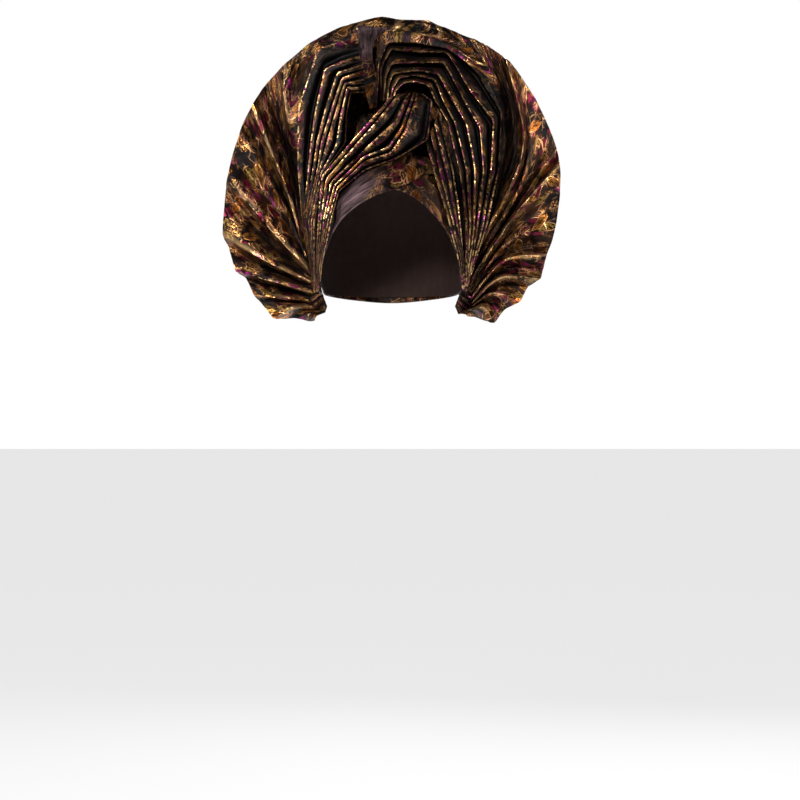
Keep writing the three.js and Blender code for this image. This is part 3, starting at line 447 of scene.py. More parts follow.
def wrinkles(coordinates, waves, seed):
    """Smooth noise over a cloth, with so many waves in a metre across and along it."""
    return noise_field(coordinates[0] * waves[0], coordinates[1] * waves[1], seed)


def grid_normals(grid):
    """Unit normals of a grid of points."""
    normals = np.cross(np.gradient(grid, axis=0), np.gradient(grid, axis=1))
    size = np.maximum(np.linalg.norm(normals, axis=-1, keepdims=True), 1e-12)
    return normals / size


def cloth_coordinates(grid, width_share=0.7):
    """Width and length coordinates of a sheet in metres, for its pattern and wrinkles."""
    widths = np.linalg.norm(np.diff(grid, axis=0), axis=-1)
    across = np.concatenate([[0], np.cumsum(np.quantile(widths, width_share, axis=1))])
    lengths = np.linalg.norm(np.diff(grid, axis=1), axis=-1)
    along = np.concatenate([np.zeros((len(grid), 1)), np.cumsum(lengths, axis=1)], axis=1)
    return np.broadcast_to(across[:, None], along.shape).copy(), along


def knife_pleats(lines, leans_on):
    """Fine grid over lines whose pleats lean one way, with its fold depths and ridge rows."""
    ridges = lines[1::2]
    valleys = lines[2:-1:2]
    across, depth = np.array(PLEAT_SECTION).T
    if not leans_on:
        across = 1 - across[::-1]
        depth = depth[::-1]
    across = across[:-1, None, None]
    depth = depth[:-1, None, None]
    share = np.linspace(0, 1, EDGE_STEPS + 1)[:, None, None]
    rows = [lines[0] + (ridges[0] - lines[0]) * share[:-1]]
    fold = [1 - share[:-1]]
    for a, b, valley in zip(ridges, ridges[1:], valleys):
        rows.append(a + (b - a) * across + (valley - (a + b) / 2) * depth)
        fold.append(depth)
    rows.append(ridges[-1] + (lines[-1] - ridges[-1]) * share)
    fold.append(share)
    grid = np.concatenate(rows)
    depth = np.broadcast_to(np.concatenate(fold)[..., 0], grid.shape[:2]) ** FACE_SHADE
    return grid, depth, EDGE_STEPS + np.arange(len(ridges)) * len(across)


def crest_distance(grid, ridges):
    """Distance over the cloth to the nearest ridge, counted longer where ridges crowd."""
    steps = np.linalg.norm(np.diff(grid, axis=0), axis=-1)
    across = np.concatenate([np.zeros((1, grid.shape[1])), np.cumsum(steps, axis=0)])
    distance = np.abs(across[:, None] - across[None, ridges])
    apart = np.linalg.norm(np.diff(grid[ridges], axis=0), axis=-1)
    apart = np.minimum(np.vstack([apart[:1], apart]), np.vstack([apart, apart[-1:]]))
    room = np.take_along_axis(apart, distance.argmin(axis=1), axis=0)
    return distance.min(axis=1) * np.maximum(1, RIDGE_ROOM / np.maximum(room, 1e-5))


def fan_fold_depths(rows, steps):
    """Depth of each point of the fan in its folds, which sets its painted shade and opens out to the rim,
    and the ridge rows that get painted highlight lines.
    """
    stands = np.array([fold[-1] for fold in even_folds(FAN_FOLDS)])
    between = (rows - 1) // (len(stands) - 1)
    stand = np.interp(np.arange(rows) / between, np.arange(len(stands)), stands)
    outward = np.linspace(0, 1, steps)[None, :]
    depth = np.clip(FAN_LEVEL_DEPTH - FAN_STAND_DEPTH * stand[:, None], 0, 1)
    inner = stands[1:-1]
    tops = (inner > stands[:-2]) & (inner > stands[2:]) & (inner >= RIDGE_STAND)
    return depth * (1 - FAN_OPENING * outward ** FAN_OPENING_POWER), (np.flatnonzero(tops) + 1) * between


def spread_grid(lines, between, easing):
    """Fine grid over fold lines whose depth changes late on each wall, so ridges stay crisp."""
    lines = np.asarray(lines)
    share = np.linspace(0, 1, between, endpoint=False)[None, :, None]
    eased = np.stack([share, share ** easing, share], -1)
    walls = lines[:-1, None] * (1 - eased) + lines[1:, None] * eased
    rows = np.concatenate([walls.reshape(-1, *lines.shape[1:]), lines[-1:]])
    rows[1:-1] = (rows[:-2] + 4 * rows[1:-1] + rows[2:]) / 6
    return rows


def uneven(lines, across, forward, seed):
    """Moves each fold line a little to and fro along its length, as hand-folded cloth is."""
    rows, steps = lines.shape[:2]
    i, j = np.meshgrid(np.arange(rows) * 1.7, np.linspace(0, 7, steps), indexing="ij")
    row = np.arange(rows)
    loose = np.minimum(1, np.minimum(row, rows - 1 - row) / STILL_ROWS)[:, None]
    shift = [noise_field(i, j, seed + k) * size * loose
             for k, size in enumerate((across, forward, across))]
    return lines + np.stack(shift, -1)


def crumpled(grid, coordinates, depth, seed):
    """Moves a sheet's points along its normals by soft wrinkles that follow the folds."""
    soft = wrinkles(coordinates, SOFT_WRINKLES, seed)
    fine = wrinkles(coordinates, FINE_WRINKLES, seed + 7)
    room = np.minimum(np.linalg.norm(np.gradient(grid, axis=0), axis=-1) / TIGHT_STEP, 1)
    return grid + grid_normals(grid) * ((soft + FINE_SHARE * fine) * depth * room)[..., None]


def air_point(across, up, front):
    """Place of a station in the air."""
    return fan_point(across, up, ROOT_SET_BACK - front * STACK_DEPTH)


def station_point(name, station, is_ridge):
    """Place of a station, on the head or in the air."""
    if name not in HEAD_STATIONS:
        return air_point(*station)
    azimuth, drop, stand = station
    z = -drop * EAR_DROP
    offset = clear_offset(azimuth, z) + (stand * EAR_FOLD_DEPTH if is_ridge else 0)
    return head_point(azimuth, z, offset)


def pleat_lines(ridges, fold_depth, depths, steps):
    """Fold lines of a pleated sheet: a valley behind each pair of ridges and at each edge."""
    def valley(a, b):
        points = []
        for (name, share), first, second in zip(depths.items(), a, b):
            middle = tuple((x + y) / 2 for x, y in zip(first, second))
            point = station_point(name, middle, False)
            point[1] += fold_depth * share
            points.append(point)
        return clear_of_bands(np.array(points))

    def ridge(row):
        points = [station_point(name, station, True) for name, station in zip(depths, row)]
        return clear_of_bands(np.array(points))

    keys = [valley(ridges[0], ridges[0])]
    for row, following in zip(ridges, ridges[1:] + ridges[-1:]):
        keys.append(ridge(row))
        keys.append(valley(row, following))
    return clear_of_bands(taut_lines(keys, steps, STATION_CORNER))


def fan_seat(share):
    """Seat of the fan's sheet on the crown, from under one ear (0) to under the other (1)."""
    angle = (share - 0.5) * SEAT_SWEEP
    beyond = abs(angle) - 90
    t = min(max((beyond - SEAT_CLIMB[0]) / (SEAT_CLIMB[1] - SEAT_CLIMB[0]), 0), 1)
    over_bands = t * t * (3 - 2 * t)
    offset = CAP_OFFSET + (OUTER_WRAP_OFFSET - CAP_OFFSET) * over_bands + SEAT_GAP
    width = HEAD_HALF_WIDTH + offset
    slice_left = 1 - (SEAT_SET_BACK / (HEAD_HALF_LENGTH + offset)) ** 2
    if beyond < 0:
        x = width * math.sqrt(slice_left) * math.sin(math.radians(angle))
        up = (TEMPLE_DROP + offset) * math.sqrt(slice_left) * math.cos(math.radians(angle))
        return np.array([x, SEAT_SET_BACK, up - TEMPLE_DROP])
    z = -TEMPLE_DROP - beyond / (SEAT_SWEEP / 2 - 90) * (SEAT_END_DROP - TEMPLE_DROP)
    share_left = float(head_share(z, offset))
    x = width * math.sqrt(share_left ** 2 - (1 - slice_left))
    return np.array([math.copysign(x, angle), SEAT_SET_BACK, z])


def even_folds(folds, widest=0.045):
    """The fan's folds with more in between, so no two start further apart than a share."""
    rows = [folds[0]]
    for a, b in zip(folds, folds[1:]):
        count = math.ceil(round((b[0] - a[0]) / widest, 6))
        rows.extend(a + (b - a) * (k / count) for k in range(1, count + 1))
    return rows


def fan_lines(steps):
    """Fold lines of the fan, each from its seat on the crown out to the rim."""
    root = dense_curve([fan_point(across, up, back * ROOT_SET_BACK) for across, up, back in FAN_ROOT])
    lines = []
    for share, *places, stand in even_folds(FAN_FOLDS):
        start = read_curve(root, share)
        if start[2] < -TEMPLE_DROP:
            start[1] -= stand * EAR_FOLD_DEPTH
        depth = stand * FAN_FOLD_DEPTH
        middle = fan_point(*places[:2], (ROOT_SET_BACK + RIM_SET_BACK) / 2 - depth)
        rim = fan_point(*places[2:], RIM_SET_BACK - depth / 2)
        inner = np.linspace(fan_seat(share), start, steps // 6, endpoint=False)
        lines.append(np.concatenate([inner, along_curve([start, middle, rim], steps - len(inner))]))
    return np.array(lines)


def edge_curve(table, column, count):
    """Smooth edge of a band: its azimuths and drops."""
    points = [(row[0], 0, row[column] * 100) for row in table]
    curve = along_curve(points, count)
    return curve[:, 0], curve[:, 2] / 100


def band_grid(table, offset, rows, columns):
    """Grid of a band round the head, between its low and its high edge."""
    low_azimuth, low = edge_curve(table, 1, rows)
    high_azimuth, high = edge_curve(table, 2, rows)
    share = np.linspace(0, 1, columns)[None, :]
    azimuth = low_azimuth[:, None] * (1 - share) + high_azimuth[:, None] * share
    drop = low[:, None] * (1 - share) + high[:, None] * share
    return head_point(azimuth, -drop * EAR_DROP, offset)


# Making of meshes.
def deselect_all():
    """Leaves nothing selected, so that an operator acts on the new piece alone."""
    bpy.ops.object.select_all(action="DESELECT")


def finish_piece(piece, cloth, node):
    """Gives a finished piece its cloth and its place in the frame."""
    piece.data.materials.clear()
    piece.data.materials.append(cloth)
    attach(piece, "root")
    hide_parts(node)


def cloth_sheet(name, grid, coordinates, wall, fold=0.0, crest=NO_RIDGE):
    """Closed sheet of cloth with an even wall round a grid of points, with its cloth map.

    Each point also keeps how deep it lies in its fold and how far it is from a ridge, for the painted shade
    of the fold and the painted highlight line on the ridge.
    """
    rows, columns = grid.shape[:2]
    deselect_all()
    bpy.ops.mesh.primitive_grid_add(
        x_subdivisions=columns - 1, y_subdivisions=rows - 1, size=1)
    piece = bpy.context.object
    piece.name = name
    mesh = piece.data
    mesh.name = name
    mesh.vertices.foreach_set("co", np.ascontiguousarray(grid, float).ravel())
    corners = np.empty(len(mesh.loops), int)
    mesh.loops.foreach_get("vertex_index", corners)
    cloth_map = np.stack(coordinates, -1).reshape(-1, 2)[corners]
    mesh.uv_layers.active.name = "cloth"
    mesh.uv_layers.active.data.foreach_set("uv", cloth_map.ravel())
    for layer, values in (("fold", fold), ("crest", crest)):
        kept = mesh.attributes.new(layer, "FLOAT", "POINT")
        values = np.broadcast_to(values, grid.shape[:2]).astype(np.float32)
        kept.data.foreach_set("value", values.ravel())
    mesh.update()
    solidify = piece.modifiers.new("wall", "SOLIDIFY")
    solidify.thickness = wall
    solidify.offset = 0
    bpy.ops.object.modifier_apply(modifier=solidify.name)
    bpy.ops.object.shade_smooth_by_angle(angle=math.radians(SHARP_ANGLE))
    return piece


def line_inside(piece, lining):
    """Gives the faces that look into the head hollow a lining."""
    faces = piece.data.polygons
    normals = np.empty(len(faces) * 3)
    centres = np.empty(len(faces) * 3)
    faces.foreach_get("normal", normals)
    faces.foreach_get("center", centres)
    outward = centres.reshape(-1, 3) + np.array([0, 0, TEMPLE_DROP])
    inside = (normals.reshape(-1, 3) * outward).sum(-1) < 0
    piece.data.materials.append(lining)
    faces.foreach_set("material_index", inside.astype(np.int32))
    piece.data.update()


# Materials.
def add_node(tree, kind, settings=None, **inputs):
    """Adds a node, sets its properties, and links or sets its inputs."""
    new = tree.nodes.new(kind)
    for name, value in (settings or {}).items():
        setattr(new, name, value)
    feed_all(tree, new.inputs, **inputs)
    return new


def feed(tree, socket, value):
    """Links a socket to an output, or sets its own value."""
    if isinstance(value, bpy.types.NodeSocket):
        tree.links.new(value, socket)
    else:
        socket.default_value = value


def feed_all(tree, sockets, **values):
    """Links or sets several sockets by name, with an underscore for each space."""
    for name, value in values.items():
        feed(tree, sockets[name.replace("_", " ")], value)


def calc(tree, operation, *values, kind="ShaderNodeMath"):
    """Result of a Math node, or of another kind that has an operation."""
    new = tree.nodes.new(kind)
    new.operation = operation
    for socket, value in zip(new.inputs, values):
        feed(tree, socket, value)
    return new.outputs[0]


def vector_calc(tree, operation, *values):
    """Result of a Vector Math node."""
    return calc(tree, operation, *values, kind="ShaderNodeVectorMath")


def times(tree, *values):
    """Product of several values."""
    return reduce(partial(calc, tree, "MULTIPLY"), values)


def most(tree, *masks):
    """Strongest of several masks."""
    return reduce(partial(calc, tree, "MAXIMUM"), masks)


def mix_colour(tree, factor, a, b):
    """Mix of two colours."""
    new = tree.nodes.new("ShaderNodeMix")
    new.data_type = "RGBA"
    feed(tree, new.inputs["Factor"], factor)
    feed(tree, next(s for s in new.inputs if s.identifier == "A_Color"), a)
    feed(tree, next(s for s in new.inputs if s.identifier == "B_Color"), b)
    return next(s for s in new.outputs if s.identifier == "Result_Color")


def below(tree, value, edge, softness):
    """Mask that is 1 where a value is under an edge, and 0 past it."""
    new = add_node(tree, "ShaderNodeMapRange", From_Min=edge - softness, From_Max=edge + softness,
                   To_Min=1, To_Max=0, Value=value)
    return new.outputs["Result"]


def above(tree, value, edge, softness):
    """Mask that is 1 where a value is past an edge, and 0 under it."""
    return calc(tree, "SUBTRACT", 1, below(tree, value, edge, softness))


def near(tree, value, edge, width, softness):
    """Mask of a line along which a value is close to an edge."""
    return below(tree, calc(tree, "ABSOLUTE", calc(tree, "SUBTRACT", value, edge)), width, softness)


def noise_texture(tree, vector, scale, detail=1.0, **inputs):
    """Soft noise over the cloth map, as the outputs of its node."""
    return add_node(tree, "ShaderNodeTexNoise", {"noise_dimensions": "2D"},
                    Vector=vector, Scale=scale, Detail=detail, **inputs).outputs


def noise_level(tree, vector, scale, detail=1.0, **inputs):
    """Height of soft noise over the cloth map."""
    return noise_texture(tree, vector, scale, detail, **inputs)["Fac"]


def hollows(tree, vector, scale, detail, edge, softness):
    """Mask of the patches in which soft noise is under an edge."""
    return below(tree, noise_level(tree, vector, scale, detail), edge, softness)


def cells_of(tree, vector, scale, feature="F1", **inputs):
    """Pattern of cells over the cloth map, as the outputs of its node."""
    return add_node(tree, "ShaderNodeTexVoronoi", {"voronoi_dimensions": "2D", "feature": feature},
                    Vector=vector, Scale=scale, **inputs).outputs


def use_group(tree, name, **inputs):
    """Node that uses one of the scene's own groups."""
    return add_node(tree, "ShaderNodeGroup", {"node_tree": bpy.data.node_groups[name]}, **inputs)


def turned_cell(tree, vector, scale, shift):
    """Cell of a scattered figure: the place in it, turned at random, and two random values."""
    shifted = vector_calc(tree, "ADD", vector, (shift, shift * 0.7, 0))
    cells = cells_of(tree, shifted, scale, Randomness=0.85)
    away = vector_calc(tree, "SUBTRACT", shifted, cells["Position"])
    chance = add_node(tree, "ShaderNodeSeparateColor", Color=cells["Color"]).outputs
    turned = add_node(tree, "ShaderNodeVectorRotate", {"rotation_type": "Z_AXIS"},
                      Vector=vector_calc(tree, "MULTIPLY", away, (scale, scale, scale)),
                      Angle=times(tree, chance[0], math.tau))
    place = add_node(tree, "ShaderNodeSeparateXYZ", Vector=turned.outputs[0]).outputs
    return place[0], place[1], chance[1], chance[2]


def new_group(name, inputs, outputs):
    """Empty shader node group with named sockets: its tree, its inputs and its outputs."""
    group = bpy.data.node_groups.new(name, "ShaderNodeTree")
    for sockets, side in ((inputs, "INPUT"), (outputs, "OUTPUT")):
        for socket, kind in sockets.items():
            group.interface.new_socket(socket, in_out=side, socket_type="NodeSocket" + kind)
    start = group.nodes.new("NodeGroupInput")
    end = group.nodes.new("NodeGroupOutput")
    return group, start.outputs, end.inputs


def drifted(tree, vector, scale, reach):
    """Cloth map moved to and fro by soft noise, so that no two figures are drawn alike."""
    drift = noise_texture(tree, vector, scale)["Color"]
    centred = vector_calc(tree, "SUBTRACT", drift, (0.5, 0.5, 0.5))
    return vector_calc(tree, "MULTIPLY_ADD", centred, (reach, reach, 0), vector)


def leaf_layer(tree, vector, scale, shift, width, share):
    """Scattered pointed leaves: their mask, veins, edge and tone."""
    x, y, pick, tone = turned_cell(tree, vector, scale, shift)
    picked = below(tree, pick, share, HARD)
    off = calc(tree, "ABSOLUTE", y)
    side = calc(tree, "MULTIPLY_ADD", times(tree, x, x), -width * 4.5, width)
    gap = calc(tree, "SUBTRACT", off, side)
    slope = calc(tree, "MULTIPLY_ADD", off, 1.4, x)
    side_veins = calc(tree, "ABSOLUTE", calc(tree, "SINE", times(tree, slope, 24)))
    veins = most(tree, below(tree, off, 0.016, 0.01), below(tree, side_veins, 0.3, 0.18))
    mask = times(tree, below(tree, gap, 0, 0.012), picked)
    return mask, times(tree, veins, mask), times(tree, near(tree, gap, 0, 0.018, 0.01), picked), tone


def floral_figures_group():
    """Woven figures on the cloth map: outlined petals, veined leaves and fine specks."""
    colour_names = ("Ground", "Shade", "Gold", "Ochre", "Olive", "Petal", "Bright Petal", "Outline")
    tree, colours, ends = new_group(
        "Floral Figures", {"Cloth": "Vector", **dict.fromkeys(colour_names, "Color")},
        {"Color": "Color", "Metal": "Float", "Relief": "Float"})
    mix = partial(mix_colour, tree)
    cloth = colours["Cloth"]
    bent = drifted(tree, drifted(tree, cloth, 30.0, 0.016), 110.0, 0.0028)

    # Outlined petals that lie close together, thicker in some places than in others.
    long_way = vector_calc(tree, "MULTIPLY", bent, PETAL_STRETCH)
    cells = cells_of(tree, long_way, PETAL_SCALE)
    rim = cells_of(tree, long_way, PETAL_SCALE, "DISTANCE_TO_EDGE")["Distance"]
    chance = add_node(tree, "ShaderNodeSeparateColor", Color=cells["Color"]).outputs
    share = calc(tree, "MULTIPLY_ADD", hollows(tree, cloth, 24.0, 1.0, 0.5, 0.06), 0.46, 0.08)
    petal_mask = below(tree, calc(tree, "SUBTRACT", chance[0], share), 0, HARD)
    small_mask = above(tree, chance[0], 0.8, HARD)
    figures = most(tree, petal_mask, small_mask)
    inner = times(tree, near(tree, rim, 0.24, 0.03, 0.02), below(tree, chance[2], 0.5, HARD), 0.8)
    seam = most(tree, below(tree, rim, 0.05, 0.025), inner)
    seam = times(tree, seam, calc(tree, "MULTIPLY_ADD", figures, 0.55, 0.45))
    body = below(tree, calc(tree, "SUBTRACT", 0.12, rim), 0, 0.06)
    petal_body = times(tree, petal_mask, body)

    # Veined leaves, and specks that gather in clouds.
    leaf, veins, leaf_edge, leaf_tone = leaf_layer(tree, bent, 34, 1.9, 0.17, 0.5)
    cloud = calc(tree, "SUBTRACT", 1, noise_level(tree, cloth, 42.0, 2.0))
    dots = below(tree, cells_of(tree, cloth, 420.0)["Distance"], 0.32, 0.08)
    specks = times(tree, dots, below(tree, cloud, 0.46, 0.04))

    # Threads, drawn strongly in some places and worn away in others.
    thread = noise_level(tree, cloth, 300.0, 2.0)
    worn = calc(tree, "MULTIPLY_ADD", noise_level(tree, cloth, 60.0, 2.0), 5.5, -2.4)
    drawn = times(tree, calc(tree, "MAXIMUM", worn, 0), calc(tree, "ADD", thread, 0.5))

    # Colours, from the ground up to the leaves.
    clouds = times(tree, hollows(tree, cloth, 22.0, 3.0, 0.42, 0.08), 0.7)
    colour = mix(clouds, colours["Ground"], colours["Shade"])
    colour = mix(times(tree, specks, drawn), colour, colours["Gold"])
    olive = mix(below(tree, chance[1], 0.5, 0.1), colours["Olive"], colours["Shade"])
    flecked = above(tree, thread, 0.48, 0.08)
    colour = mix(times(tree, small_mask, body, flecked), colour, olive)
    petals = mix(below(tree, chance[1], 0.16, 0.02), colours["Petal"], colours["Bright Petal"])
    petals = mix(hollows(tree, cloth, 120.0, 1.0, 0.42, 0.1), petals, colours["Ground"])
    colour = mix(petal_body, colour, petals)
    colour = mix(times(tree, seam, drawn), colour, colours["Outline"])
    leaves = mix(leaf_tone, colours["Gold"], colours["Ochre"])
    faded = times(tree, hollows(tree, cloth, 64.0, 2.0, 0.5, 0.12), 0.85)
    colour = mix(leaf, colour, mix(faded, leaves, colours["Shade"]))
    colour = mix(times(tree, veins, 0.9), colour, colours["Ground"])
    colour = mix(times(tree, leaf_edge, drawn), colour, colours["Outline"])
    metal = most(tree, leaf, leaf_edge, seam, specks, times(tree, figures, 0.6))
    feed_all(tree, ends, Color=colour, Metal=metal, Relief=most(tree, leaf, seam, petal_body))


def fold_shade_group():
    """Painted shade of the folds, and a painted highlight: the bright, broken line that a sharp fold shows.

    The valleys get painted shade. A painted sheen lights patches beside a ridge, and a narrow pleat
    gets painted shade from a short way off its ridge.
    """
    tree, starts, ends = new_group(
        "Fold Shade",
        {"Color": "Color", "Metal": "Float", "Fold": "Float", "Crest": "Float", "Cloth": "Vector",
         "Light": "Color", "Tint": "Color", "Sheen": "Float", "Narrow": "Float"},
        {"Color": "Color", "Metal": "Float"})
    mix = partial(mix_colour, tree)
    cloth = starts["Cloth"]
    crest = starts["Crest"]
    # Painted sheen: patches beside a ridge are mixed towards the highlight colour.
    patches = above(tree, noise_level(tree, cloth, 38.0, 2.0), 0.54, 0.06)
    sheen = times(tree, below(tree, crest, 0.0035, 0.0025), patches, starts["Sheen"])
    glow = mix(0.45, starts["Color"], starts["Light"])
    colour = mix(times(tree, sheen, 0.8), starts["Color"], glow)
    # Painted shade: the valleys are mixed towards near-black.
    valley = above(tree, starts["Fold"], 0.3, 0.22)
    colour = mix(times(tree, valley, 0.94), colour, PAINTED_VALLEY_SHADE)
    # Painted highlight: a broken bright line along each sharp ridge, in the light and purple colours of the
    # thread.
    broken = above(tree, noise_level(tree, cloth, 210.0, 2.0), 0.5, 0.05)
    ridge = times(tree, below(tree, crest, 0.0009, 0.0005), broken)
    thread = mix(hollows(tree, cloth, 95.0, 1.0, 0.43, 0.03), starts["Light"], starts["Tint"])
    colour = mix(times(tree, ridge, 0.75), colour, thread)
    # Painted shade on a narrow pleat's face, from a short way off its ridge.
    off_ridge = calc(tree, "SUBTRACT", crest, calc(tree, "MULTIPLY_ADD", patches, 0.004, 0.0021))
    shut = times(tree, above(tree, off_ridge, 0, 0.0009), starts["Narrow"])
    open_cloth = calc(tree, "SUBTRACT", 1, most(tree, valley, shut))
    metal = times(tree, most(tree, starts["Metal"], ridge, sheen), open_cloth)
    feed_all(tree, ends, Color=mix(shut, colour, PAINTED_SHUT_SHADE), Metal=metal)


def thread_relief_group():
    """Height of the woven threads and of the fine creases that run along the folds."""
    tree, starts, ends = new_group(
        "Thread Relief", {"Cloth": "Vector", "Figures": "Float", "Crease": "Float"},
        {"Height": "Float", "Glint": "Float"})
    cloth = starts["Cloth"]
    weft = add_node(tree, "ShaderNodeTexWave", {"wave_type": "BANDS", "bands_direction": "DIAGONAL"},
                    Vector=cloth, Scale=260.0, Distortion=1.5, Detail=1.0)
    stretched = vector_calc(tree, "MULTIPLY", cloth, (1.0, 0.28, 1.0))
    crease = noise_level(tree, stretched, 210.0, 3.0, Roughness=0.6)
    folds = calc(tree, "MULTIPLY_ADD", noise_level(tree, cloth, 90.0, 2.0), 1.6, crease)
    height = times(tree, weft.outputs["Fac"], 0.00008)
    height = calc(tree, "MULTIPLY_ADD", starts["Figures"], 0.00022, height)
    height = calc(tree, "MULTIPLY_ADD", folds, starts["Crease"], height)
    feed_all(tree, ends, Height=height, Glint=noise_level(tree, stretched, 700.0))


def new_material(name):
    """Empty material with its shader and cloth map."""
    material = bpy.data.materials.new(name)
    material.use_nodes = True
    tree = material.node_tree
    tree.nodes.clear()
    shader = tree.nodes.new("ShaderNodeBsdfPrincipled")
    add_node(tree, "ShaderNodeOutputMaterial", Surface=shader.outputs["BSDF"])
    cloth = add_node(tree, "ShaderNodeUVMap", {"uv_map": "cloth"})
    return tree, shader, cloth.outputs["UV"]


def finish_material(tree, shader, relief, **inputs):
    """Feeds a cloth's shader, with its woven relief."""
    bump = add_node(tree, "ShaderNodeBump", Height=relief.outputs["Height"], Distance=1.0)
    feed_all(tree, shader.inputs, Normal=bump.outputs["Normal"], **inputs)


def woven(tree, cloth, colours, shift, crease, sheen=0.0, narrow=0.0):
    """Brocade's colour, metal and relief: figures on a ground, with painted shade in its folds and painted
    highlights on its ridges.
    """
    moved = add_node(tree, "ShaderNodeMapping", Vector=cloth, Location=(*shift, 0)).outputs[0]
    figures = use_group(tree, "Floral Figures", Cloth=moved)
    fold = add_node(tree, "ShaderNodeAttribute", {"attribute_name": "fold"}).outputs["Fac"]
    crest = add_node(tree, "ShaderNodeAttribute", {"attribute_name": "crest"}).outputs["Fac"]
    shaded = use_group(tree, "Fold Shade", Color=figures.outputs["Color"],
                       Metal=figures.outputs["Metal"], Fold=fold, Crest=crest, Cloth=moved,
                       Sheen=sheen, Narrow=narrow)
    for node in (figures, shaded):
        for socket, colour in colours.items():
            if socket in node.inputs:
                node.inputs[socket].default_value = (*colour, 1)
    relief = use_group(tree, "Thread Relief", Cloth=moved, Figures=figures.outputs["Relief"],
                       Crease=crease)
    return shaded.outputs["Color"], shaded.outputs["Metal"], relief


def brocade_material(name, colours, shift, crease=0.0004, metal=(0.3, 0.95),
                     roughness=(0.5, 0.28), sheen=0.0, narrow=0.0):
    """Brocade: dark ground, floral figures in metal thread, woven relief and fine creases."""
    tree, shader, cloth = new_material(name)
    colour, threads, relief = woven(tree, cloth, colours, shift, crease, sheen, narrow)
    metallic, rough = (calc(tree, "MULTIPLY_ADD", threads, top - base, base)
                       for base, top in (metal, roughness))
    rough = calc(tree, "MULTIPLY_ADD", relief.outputs["Glint"], 0.16, calc(tree, "SUBTRACT", rough, 0.08))
    finish_material(tree, shader, relief, Base_Color=colour, Metallic=metallic, Roughness=rough,
                    Specular_IOR_Level=0.12)


def border_material(name, colours, low, high, span, lit_width=1.0):
    """Grey-purple satin border with thread lines along it, which runs out into brocade."""
    tree, shader, cloth = new_material(name)
    mix = partial(mix_colour, tree)
    brocade, threads, relief = woven(tree, cloth, colours, (0.19, 0.41), 0.0005)
    lines = vector_calc(tree, "MULTIPLY", cloth, (900.0, 40.0, 1.0))
    creases = vector_calc(tree, "MULTIPLY", cloth, (170.0, 22.0, 1.0))
    # The satin's light and dark tones follow its thread lines and its creases: weave tone, with painted
    # sheen along the creases.
    share = calc(tree, "MULTIPLY_ADD", noise_level(tree, lines, 1.0, 2.0), 0.5,
                 times(tree, noise_level(tree, creases, 1.0, 3.0), 0.9))
    satin = mix(below(tree, share, 0.7, 0.16), (*high, 1), (*low, 1))
    # Painted shade in the crease hollows.
    crease_shade_mask = times(tree, hollows(tree, creases, 1.6, 2.0, 0.41, 0.05), 0.85)
    satin = mix(crease_shade_mask, satin, PAINTED_CREASE_SHADE)
    moved = drifted(tree, cloth, 60.0, SATIN_FADE)
    place = add_node(tree, "ShaderNodeSeparateXYZ", Vector=moved).outputs
    # Painted shade on the band's upper part, past the width that is left lit.
    upper = times(tree, above(tree, place["X"], lit_width, lit_width / 3), 0.85)
    satin = mix(upper, satin, PAINTED_UPPER_SHADE)
    inside = times(tree, below(tree, place["Y"], span[1], SATIN_FADE / 2),
                   above(tree, place["Y"], span[0], SATIN_FADE / 4))
    plain = times(tree, calc(tree, "SUBTRACT", 1, inside), threads)
    finish_material(tree, shader, relief, Base_Color=mix(inside, brocade, satin), Roughness=0.55,
                    Metallic=calc(tree, "MULTIPLY_ADD", plain, 0.5, 0.35), Specular_IOR_Level=0.12)


def lining_material(name, colour):
    """Plain dull reverse of the cloth, with its weave."""
    tree, shader, cloth = new_material(name)
    relief = use_group(tree, "Thread Relief", Cloth=cloth, Figures=0.0, Crease=0.0004)
    dim = tuple(channel * 0.5 for channel in colour)
    shade = mix_colour(tree, noise_level(tree, cloth, 60.0, 3.0), (*dim, 1), (*colour, 1))
    finish_material(tree, shader, relief, Base_Color=shade, Roughness=0.8, Specular_IOR_Level=0.15)


def brocade_colours(settings, depth):
    """Colours of the figures from the settings, darkened by a depth below 1: painted shade, set piece by
    piece.
    """
    names = {"Ground": "ground", "Shade": "shade", "Gold": "gold", "Ochre": "ochre",
             "Olive": "olive", "Petal": "petal", "Bright Petal": "bright_petal",
             "Outline": "outline", "Light": "painted_ridge_highlight", "Tint": "painted_ridge_tint"}
    return {socket: tuple(channel * depth for channel in getattr(settings, name))
            for socket, name in names.items()}


def colour_property(name, description, default):
    """Colour setting of the cloth."""
    return bpy.props.FloatVectorProperty(
        name=name, description=description, default=default, size=3, min=0, max=1, subtype="COLOR")


def number_property(name, description, default, low, high, **more):
    """Number setting of the cloth or the studio."""
    return bpy.props.FloatProperty(
        name=name, description=description, default=default, min=low, max=high, **more)


